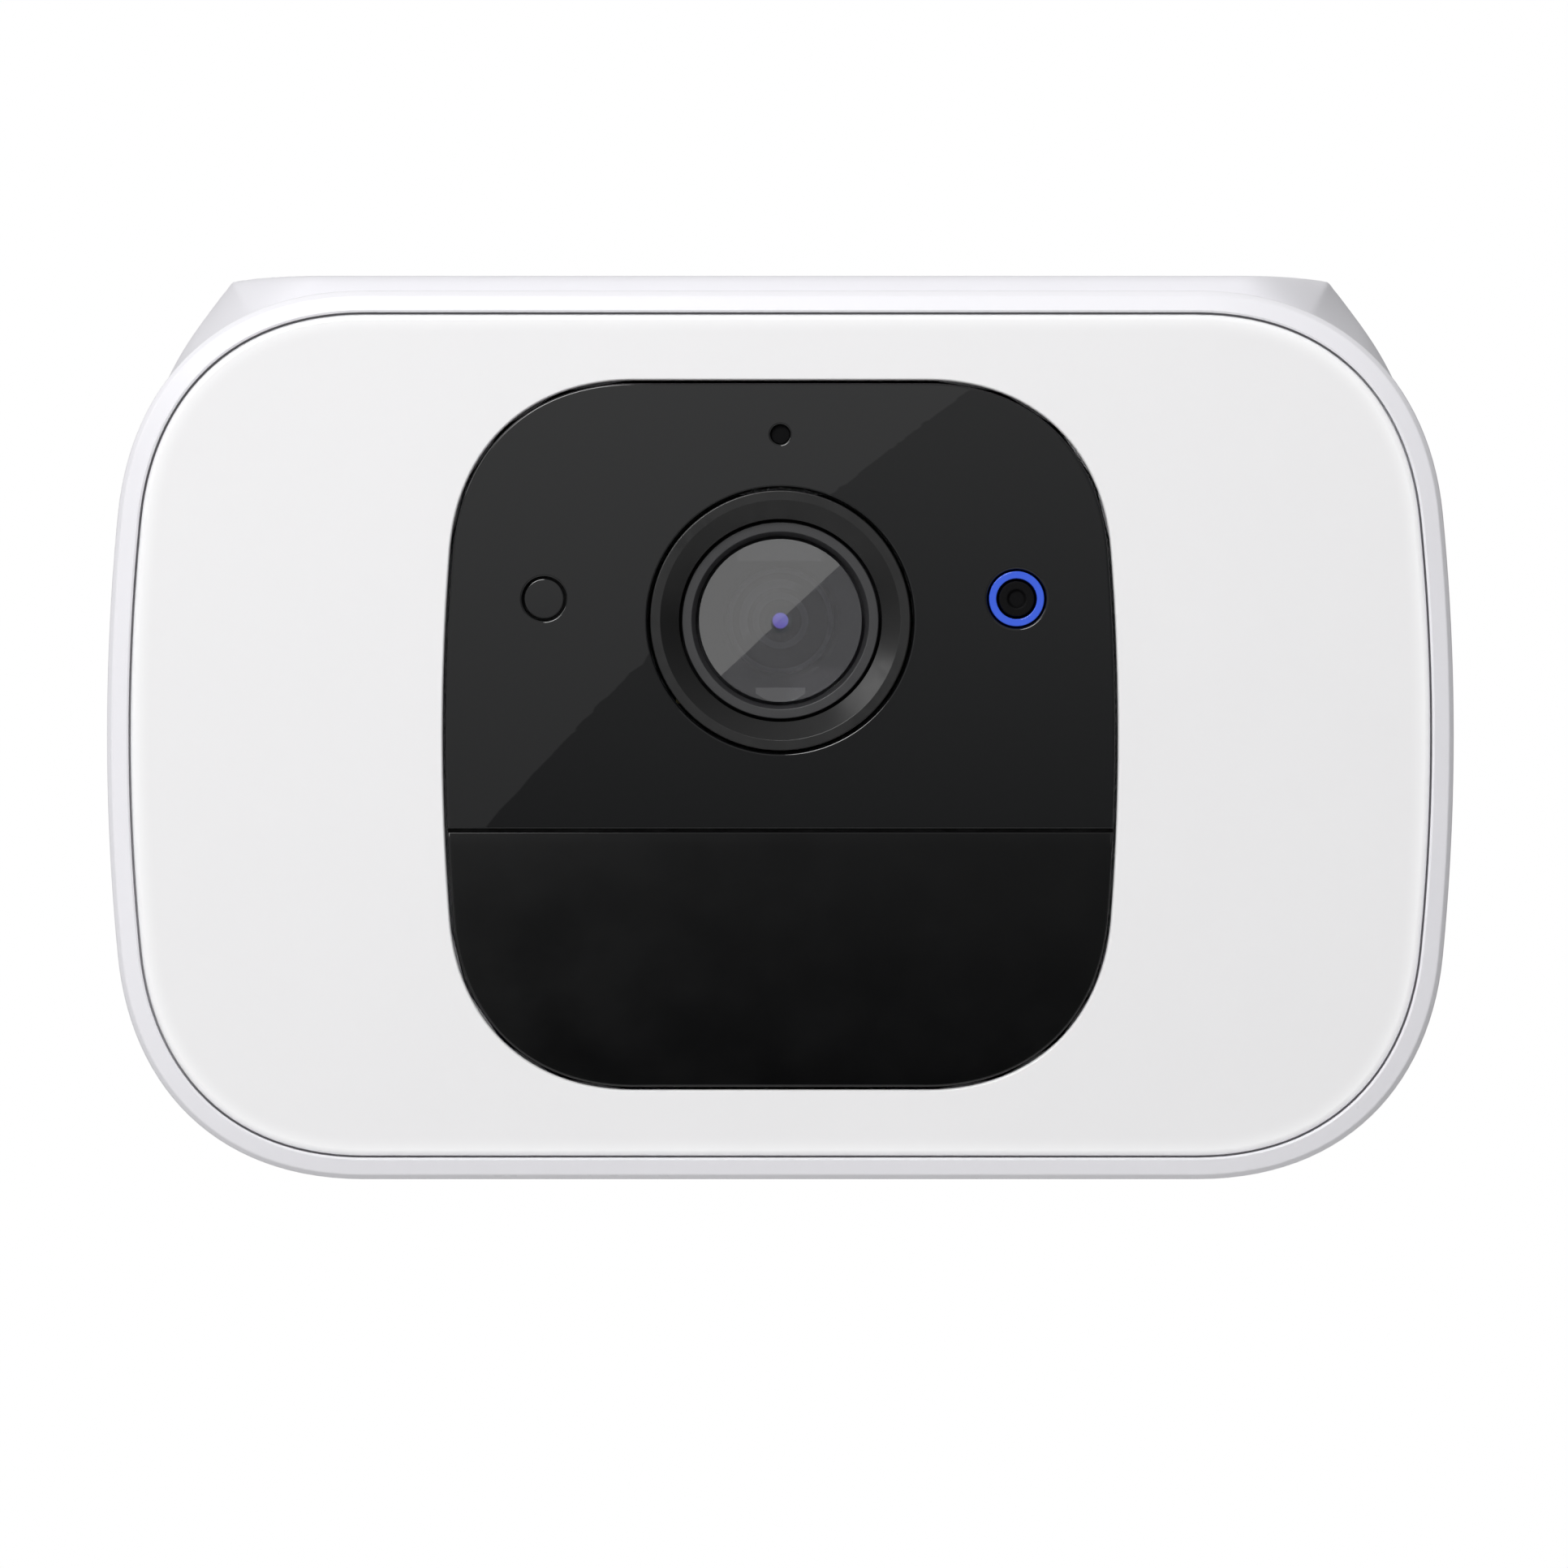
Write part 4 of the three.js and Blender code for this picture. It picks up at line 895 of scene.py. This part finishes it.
def housing_shell():
    form = housing_form()
    front = RIM_DEPTH + 0.3

    def outside(x, y, z):
        return both(form(x, y, z), front - y, 0.35)

    half = stacked((0, 44, 1.3), (44, 52, 0.8), (52, 56.4, 0.4), (56.4, 68.4, 0.8))
    xs = np.concatenate([-half[:0:-1], half])
    ys = stacked((front - 0.9, 16, 0.45), (16, 44, 1.3), (44, 60, 0.8), (60, 90, 1.3), (90, 98, 0.6))
    zs = stacked((-45, -30, 0.8), (-30, 28, 1.3), (28, 43.6, 0.6), (43.6, 46, 0.3), (46, 47.2, 0.6))
    shell = net("rear_housing_fine", outside, xs, ys, zs)

    roof_slope = ROOF_FALL / (ROOF_BACK - ROOF_FRONT)

    def inside(x, y, z):
        ceiling = z - (ROOF_TOP - 5.2 - roof_slope * np.maximum(y - ROOF_FRONT, 0))
        return both(both(form(x, y, z) + WALL, ceiling, 1.0), 7 - y, 0.3)

    across, up = stacked((-68, 68, 1.9)), stacked((-46, 48, 1.6))
    hollow = net("hollow", inside, across, stacked((5, 14, 0.9), (14, 98, 1.9)), up)
    return combined(shell, "DIFFERENCE", [hollow])


def opened_section(front, back, grow):
    """The section of a cutter from front to back that opens out by grow at the body's back face."""
    wide, past = -grow - 0.4, BODY_BACK + 0.4
    return [(0, front), (0, BODY_BACK - grow), (-grow, BODY_BACK), (wide, past), (wide, back)]


def block(name, edge, section):
    return plate(name, [edge], section)


def onto_roof(made):
    """Lays a piece drawn with its front at depth 0 flat on the roof, facing up, and falls with it."""
    low, high = span("solar_panel")
    along = (low.y + high.y) / 2
    angle = math.atan(ROOF_FALL / (ROOF_BACK - ROOF_FRONT))
    height = ROOF_TOP - (along - ROOF_FRONT) * math.tan(angle)
    lay = Matrix.Rotation(-math.pi / 2, 4, "X")
    made.data.transform(Matrix.Translation((0, along, height)) @ Matrix.Rotation(-angle, 4, "X") @ lay)
    return made


SOLAR_WIDTH, SOLAR_LENGTH, SOLAR_RECESS = 95.0, 77.0, 3.4


def solar_outline(gap):
    return lambda d: rounded_box(SOLAR_WIDTH - 2 * (gap + d), SOLAR_LENGTH - 2 * (gap + d), 2.6 - gap)


def housing():
    shell = housing_shell()
    pad_radius, pad_back = 16, 59.5
    button = middle("sync_button")
    screws = [middle(f"housing_screw_{i}") for i in range(1, 5)]

    def tongue_edge(d):
        return outline(inset(RIM, d))

    added = [
        swept("tongue", tongue_edge, [(2.3, 6.7), (4.7, 6.7), (4.7, 10.0), (2.3, 10.0)]),
        block("port_block", rounded(18, 13, 1.5, PORT_X, PORT_Z), [(0, 49.5), (0, 57)]),
        turned("insert_block", [(0, 47), (8, 47), (8, 57.5), (0, 57.5)], z=STUD_Z, count=64),
    ]
    added += [turned("boss", [(0, 45), (4.2, 45), (4.2, 57), (0, 57)], s.x, s.z, 48) for s in screws]
    pad = [(0, 57), (pad_radius + 1.2, 57), (pad_radius + 1.2, BODY_BACK + 0.02),
           (pad_radius + 0.35, BODY_BACK + 0.3), (pad_radius, BODY_BACK + 0.9),
           (pad_radius, pad_back - 0.4), (pad_radius - 0.4, pad_back), (0, pad_back)]
    added.append(turned("pad", pad, z=STUD_Z, count=128))
    shell = combined(shell, "UNION", added)

    lip, top = 0.35, 62
    solar_recess = [(-0.8, -2), (-0.35, 0.05), (0, 0.45), (0, SOLAR_RECESS)]
    cutters = [
        onto_roof(block("solar_recess", solar_outline(0), solar_recess)),
        turned("insert_hole", [(0, 48.2), (5.3, 48.2), (5.3, top), (0, top)], z=STUD_Z, count=64),
        block("port_recess", rounded(14, 9, 1.5, PORT_X, PORT_Z), opened_section(52, top, lip)),
        block("port_slot", rounded(9.8, 4, 1.9, PORT_X, PORT_Z), [(0, 45), (0, 53)]),
    ]

    def drilled(radius, depth, x, z):
        end = BODY_BACK + 0.4
        profile = [(0, depth), (radius, depth), (radius, BODY_BACK - lip), (radius + lip, BODY_BACK),
                   (radius + lip + 0.4, end), (radius + lip + 0.4, top), (0, top)]
        return turned("drilled", profile, x, z, 64)

    cutters.append(drilled(4.3, 50, button.x, button.z))
    for s in screws:
        cutters.append(drilled(3, 56, s.x, s.z))
        cutters.append(turned("screw_hole", [(0, 40), (1.5, 40), (1.5, 56.5), (0, 56.5)], s.x, s.z, 32))
    for i in range(-3, 4):
        slot = block("grille_slot", rounded(1.4, 22, 0.7), [(0, 0), (0, 10)])
        lay = Matrix.Rotation(-math.pi / 2, 4, "X")
        slot.data.transform(Matrix.Translation((3 * i, 34, -38)) @ lay)
        cutters.append(slot)
    piece(combined(shell, "DIFFERENCE", cutters), "white_shell", "camera", "rear_housing")


def solar():
    panel = block("solar_panel_fine", solar_outline(0.3), softened(0.2, 2.2, 0.35, 0.1))
    piece(onto_roof(panel), "solar_glass", "camera", "solar_panel")

    def opening(d):
        return rounded_box(SOLAR_WIDTH - 8 + 2 * d, SOLAR_LENGTH - 8 + 2 * d, 2)

    seal = plate("solar_panel_seal_fine", [solar_outline(0.4), opening], softened(2.5, 3.1, 0.15, 0.15))
    piece(onto_roof(seal), "black_rubber", "camera", "solar_panel_seal")


def cross_cutters(x, z, reach, half_width, front, back):
    """Two flat blades that cross, for a screw's recess."""
    return [block("blade", rounded(w, h, 0.12, x, z, 3), [(0, front), (0, back)])
            for w, h in ((2 * reach, 2 * half_width), (2 * half_width, 2 * reach))]


def housing_screws():
    for i in range(1, 5):
        s = middle(f"housing_screw_{i}")
        profile = [(0, 44.5), (0.9, 44.5), (1.2, 44.9), (1.2, 56.3), (2.5, 56.3), (2.6, 56.4),
                   (2.6, 57.0), (2.45, 57.4), (2.1, 57.7), (1.5, 57.85), (0, 57.9)]
        screw = turned(f"housing_screw_{i}_fine", profile, s.x, s.z, 48)
        combined(screw, "DIFFERENCE", cross_cutters(s.x, s.z, 1.5, 0.3, 57.0, 60))
        piece(screw, "steel", "camera", f"housing_screw_{i}", sharp=30)


def port_cover():
    low, high = span("port_cover")
    front, back = BODY_BACK + 0.3, high.y
    lid_edge = rounded(high.x - low.x, high.z - low.z, 2.2, PORT_X, (low.z + high.z) / 2)
    lid = block("port_cover_fine", lid_edge, softened(front, back, 0.15, 0.6, 6))

    def lip_edge(d):
        return rounded_box(13.2 - 2 * d, 8.2 - 2 * d, 1.2 - 0.5 * d, PORT_X, PORT_Z)

    lip_top, lip_end = front + 0.5, front - 1.5
    lip_section = [(0.2, lip_end), (0, front - 1.2), (0, lip_top), (1, lip_top), (1, lip_end)]
    lip = swept("lip", lip_edge, lip_section)
    groove = [(0, back - 0.25), (0, back + 1)]
    grips = [block("grip", rounded(0.7, 5.4, 0.35, PORT_X + dx, high.z - 4.2), groove)
             for dx in (-2.4, -0.8, 0.8, 2.4)]
    made = combined(combined(lid, "UNION", [lip]), "DIFFERENCE", grips)
    piece(made, "white_rubber", "port_cover", "port_cover")


def sync_button():
    low, high = span("sync_button")
    at, radius, top = middle("sync_button"), 4.0, high.y
    flange = 55.5
    profile = [(0, low.y), (1.5, low.y), (1.5, 54.2), (radius + 1, 54.2), (radius + 1, flange),
               (radius, flange), (radius, top - 0.5), (radius - 0.15, top - 0.15),
               (radius - 0.5, top), (radius - 0.9, top), (radius - 1.6, top - 0.22),
               (radius - 2.6, top - 0.34), (0, top - 0.4)]
    made = turned("sync_button_fine", profile, at.x, at.z)
    piece(made, "white_rubber", "sync_button", "sync_button")


# ---------------- bracket and ball joint


def ridged(radius, ridge, ridges, per_ridge=12):
    """A circle with shallow rounded grooves between broad ridges."""
    count = ridges * per_ridge
    phase = np.arange(count) % per_ridge / per_ridge
    groove = np.clip(1 - np.abs(phase - 0.5) / 0.22, 0, 1)
    r = radius - ridge * groove**2 * (3 - 2 * groove)
    angle = np.arange(count) * 2 * np.pi / count
    return np.column_stack([r * np.cos(angle), r * np.sin(angle)])


def grip_ring(name, outer, inner, ridge, ridges):
    """A turned ring whose outer wall has ridges. Outer is (radius, depth, share of the ridge)."""
    count = len(ridged(1, 0, ridges))
    loops = [at_depth(ridged(r, ridge * share, ridges), y) for r, y, share in outer]
    loops += [at_depth(circle(r, count), y) for r, y in inner]
    return mesh_object(name, *skin(loops, joined=True))


def lock_ring():
    low, high = span("lock_ring", STUD)
    radius, front, back = high.x, low.y, high.y
    outer = [(radius - 0.8, front, 0), (radius - 0.45, front + 0.1, 0.2), (radius, front + 0.55, 1),
             (radius, back - 0.55, 1), (radius - 0.45, back - 0.1, 0.2), (radius - 0.8, back, 0)]
    inner = [(3.8, back), (3.4, back - 0.4), (3.4, front + 0.4), (3.8, front)]
    made = grip_ring("lock_ring_fine", outer, inner, 0.6, 16)
    piece(made, "black_matt", "lock_ring", "lock_ring", origin=STUD, sharp=50)


def stem():
    stud, neck, flange = 3.1, 3.05, 8.0
    pitch, thread = 1.27, 0.45
    start, end = 50.8, 64.6
    turn = np.arange(72) / 72
    loops = [at_depth(circle(r, 72), y) for r, y in ((0, 50), (stud - 0.9, 50))]
    for y in np.arange(start, end, pitch / 8):
        wave = np.abs(((y / pitch - turn) % 1) * 2 - 1)
        fade = min(1.0, (y - start) / 1.5, (end - y) / 1.0)
        r = stud - 0.02 - thread * np.maximum(fade, 0.15) * wave
        angle = turn * 2 * np.pi
        loops.append(np.column_stack([r * np.cos(angle), np.full(72, y), r * np.sin(angle)]))
    smooth = [(stud - 0.1, end + 0.2), (stud, 65.1), (flange - 0.25, 65.1), (flange, 65.35),
              (flange, 67.1), (flange - 0.3, 67.45), (neck + 2, 67.6), (neck + 0.9, 68.1),
              (neck + 0.25, 69.4), (neck, 71.2), (neck, 73.8), (neck + 0.15, 74.8),
              *arc(BALL_RADIUS, BALL_DEPTH, 23.5, 180, 36)]
    loops += [at_depth(circle(r, 72), y) for r, y in smooth]
    made = mesh_object("ball_stem_fine", *skin(loops))
    piece(made, "steel", "ball_stem", "ball_stem", origin=STUD, sharp=50)


def liner():
    profile = [*arc(10.6, BALL_DEPTH, 180, 105, 24), *arc(BALL_SEAT, BALL_DEPTH, 105, 180, 24)]
    made = mesh_object("ball_liner_fine", *skin([at_depth(circle(r), y) for r, y in profile]))
    piece(made, "black_matt", "ball_liner", "ball_liner", origin=STUD)


def collar():
    low, high = span("clamp_collar", STUD)
    radius, front, back = high.x, low.y, high.y
    outer = [(radius - 2.2, front, 0), (radius - 1.3, front + 0.12, 0),
             (radius - 0.5, front + 0.55, 0.1), (radius, front + 1.5, 1), (radius, back - 0.9, 1),
             (radius - 0.35, back - 0.25, 0.3), (radius - 0.8, back, 0)]
    seat = BALL_DEPTH - 2.7
    inner = [(13.6, back), (13.3, back - 0.3), (13.3, seat),
             *arc(BALL_SEAT, BALL_DEPTH, 73.1, 64, 4),
             (8.72, 78.9), (9.7, 78.35), (11.2, 77.85), (12.4, 77.55), (12.9, front)]
    made = grip_ring("clamp_collar_fine", outer, inner, 0.7, 24)
    piece(made, "white_shell", "clamp_collar", "clamp_collar", origin=STUD, sharp=50)


def wall_bracket():
    shoulder = BALL_DEPTH + 5.6
    front = span("wall_screw_1", STUD)[0].y - 0.3
    mouth, bend_end = BALL_DEPTH - 2, front + 3.2
    cup = [*arc(10.9, BALL_DEPTH, 180, 90, 24), (10.9, BALL_DEPTH - 1.8), (11.1, mouth),
           (12.7, mouth), (13, BALL_DEPTH - 1.7), (13, shoulder), (14.7, shoulder),
           (15, shoulder + 0.3)]
    waist = bezier([(15, shoulder + 5.2), (15, shoulder + 11.5), (9, shoulder + 10),
                    (9, shoulder + 16)], 24)
    foot = bezier([(9, front - 6.4), (9, front - 1.6), (11, front), (15.5, front)], 14)
    edge = bezier([(PLATE_RADIUS - 3.2, front), (PLATE_RADIUS - 1.2, front),
                   (PLATE_RADIUS, front + 1.2), (PLATE_RADIUS, bend_end)], 10)
    back = [(PLATE_RADIUS, bend_end), (PLATE_RADIUS, WALL_DEPTH - 0.3),
            (PLATE_RADIUS - 0.3, WALL_DEPTH), (0, WALL_DEPTH)]
    profile = [*cup, *waist, *foot, *edge, *back]
    made = mesh_object("wall_bracket_fine", *skin([at_depth(circle(r, 128), y) for r, y in profile]))
    holes = []
    for i in range(1, 4):
        s = middle(f"wall_screw_{i}", STUD)
        hole = [(0, 110), (4.9, 110), (4.5, front), (4.1, front + 0.35), (4.1, front + 0.7),
                (2.4, front + 3), (2.4, WALL_DEPTH + 2), (0, WALL_DEPTH + 2)]
        holes.append(turned("hole", hole, s.x, s.z, 64))
        head = front + 0.3
        profile = [(0, head + 0.05), (2.6, head), (3.5, head + 0.08), (3.7, head + 0.3),
                   (3.7, head + 0.6), (2.1, head + 2.8), (2.1, WALL_DEPTH - 0.3), (0, WALL_DEPTH - 0.3)]
        screw = turned(f"wall_screw_{i}_fine", profile, s.x, s.z, 64)
        combined(screw, "DIFFERENCE", cross_cutters(s.x, s.z, 2, 0.4, head - 2, head + 1.2))
        piece(screw, "steel", "wall_bracket", f"wall_screw_{i}", origin=STUD, sharp=30)
    made = combined(made, "DIFFERENCE", holes)
    piece(made, "white_shell", "wall_bracket", "wall_bracket", origin=STUD)


# ---------------- inner pieces keep their CAD shape

INNER = dict(
    black_rubber="face_seal speaker_seal",
    black_matt="module_carrier light_sensor microphone battery_holder speaker",
    circuit_board="image_sensor_board motion_sensor_board infrared_led_board main_board wifi_antenna "
                  "charge_board sync_switch",
    white_shell="reflector_tray",
    white_board="led_board_left led_board_right",
    steel="motion_sensor charge_socket",
    aluminium="heat_spreader",
    cell_wrap="battery_cell_upper battery_cell_lower",
    brass="mount_insert",
)

for look, nodes in INNER.items():
    for node in nodes.split():
        node_materials = frame["nodes"][node].data.materials
        node_materials.clear()
        node_materials.append(LOOKS[look])

rim()
diffuser()
black_windows()
lens()
indicators()
housing()
solar()
housing_screws()
port_cover()
sync_button()
lock_ring()
stem()
liner()
collar()
wall_bracket()

# ---------------- studio


def studio():
    """White sweep for the camera, and for the object a room that is brightest above on the left."""
    world = bpy.data.worlds.new("studio")
    bpy.context.scene.world = world
    nodes = Nodes(world)
    nodes.tree.nodes.clear()

    def eased(value, start, end, low, high):
        return nodes.between(value, start, end, low, high, interpolation_type="SMOOTHSTEP")

    def mixed(factor, first, second):
        return nodes.add("ShaderNodeMix", {0: factor, 2: first, 3: second}, data_type="FLOAT")

    direction = nodes.add("ShaderNodeTexCoord", {}, "Generated")
    x, y, z = nodes.node("ShaderNodeSeparateXYZ", {0: direction}).outputs
    room = eased(nodes.plus(nodes.times(z, 0.8), nodes.times(x, -0.6)), -1.2, 1.2, 0.09, 0.63)

    # Behind the camera hangs a card, seen only as a reflection. Places on it are slopes from the face.
    # Close in, it is dark inside a big disc, whose edge shows in the flat face as a slanting line,
    # and grows lighter upwards. Far out, where only the curved lens sees it, it is split by a slant.
    ahead = nodes.math("MAXIMUM", nodes.times(y, -1.0), 0.01)
    across, above = nodes.math("DIVIDE", x, ahead), nodes.math("DIVIDE", z, ahead)
    disc_x, disc_z, disc_radius, disc_edge = 0.0662, -0.0696, 0.10218, 0.00006
    radius = nodes.length(nodes.minus(across, disc_x), nodes.minus(above, disc_z))
    beyond = eased(radius, disc_radius, disc_radius + disc_edge, 0.0, 0.275)
    near = nodes.plus(beyond, nodes.between(above, -0.0098, 0.0160, 0.0, 0.62))
    slant = nodes.minus(nodes.times(above, 0.73), nodes.times(across, 0.68))
    far = eased(slant, 0.0034, 0.0046, 0.12, 0.88)
    card = mixed(eased(nodes.length(across, above), 0.019, 0.023, 0.0, 1.0), near, far)

    light = mixed(eased(y, -0.955, -0.97, 0.0, 1.0), room, card)
    strength = mixed(nodes.add("ShaderNodeLightPath", {}, "Is Camera Ray"), light, 1.0)
    shine = nodes.add("ShaderNodeBackground", {"Color": (1, 1, 1, 1), "Strength": strength})
    nodes.node("ShaderNodeOutputWorld", {0: shine})


def softbox(name, place_at, target, size, power, diffuse=True, gloss=True):
    light = bpy.data.lights.new(name, "AREA")
    light.shape, light.size, light.size_y, light.energy = "RECTANGLE", size[0], size[1], power
    lamp = bpy.data.objects.new(name, light)
    bpy.context.scene.collection.objects.link(lamp)
    lamp.location = place_at
    lamp.visible_diffuse, lamp.visible_glossy = diffuse, gloss
    lamp.rotation_euler = (Vector(target) - Vector(place_at)).to_track_quat("-Z", "Y").to_euler()


def floor():
    low, high = cad_box
    top, half = low.z - 0.35, 3.0
    corners = [(x * half, y * half, top) for x, y in ((-1, -1), (1, -1), (1, 1), (-1, 1))]
    mesh = bpy.data.meshes.new("floor")
    mesh.from_pydata(corners, [], [(0, 1, 2, 3)])
    ground = bpy.data.objects.new("floor", mesh)
    bpy.context.scene.collection.objects.link(ground)
    look = Look("pale_floor")
    look.set(base_color=look.mix(look.noise(400), (0.68, 0.68, 0.68), (0.72, 0.72, 0.72)))
    look.set(roughness=look.uneven(60, 0.7, 0.1))
    look.see_through_from_behind()
    mesh.materials.append(look.material)


def camera():
    distance = 3.0
    frame_width = 0.15595
    aim = FACE + Vector((0.36, 0, -4.88)) * MM
    data = bpy.data.cameras.new("camera")
    data.sensor_width = 36
    data.lens = data.sensor_width * distance / frame_width
    data.clip_start, data.clip_end = 0.05, 50
    view = bpy.data.objects.new("camera", data)
    bpy.context.scene.collection.objects.link(view)
    view.location = aim - Vector((0, distance, 0))
    view.rotation_euler = (math.pi / 2, 0, 0)
    bpy.context.scene.camera = view


studio()
centre = (FACE + BALL) / 2
softbox("key", (-0.18, -0.76, 0.40), centre, (0.3, 0.3), 3.63)
softbox("shine", (-0.72, -0.24, 0.54), centre, (0.5, 0.5), 2.2, diffuse=False)
softbox("top", (-0.1, 0.3, 0.95), centre, (0.8, 0.8), 0.9)
softbox("back", (0.05, 1.3, 0.3), centre, (0.7, 0.7), 3.0, gloss=False)
floor()
camera()
bpy.context.scene.view_settings.view_transform = "Standard"
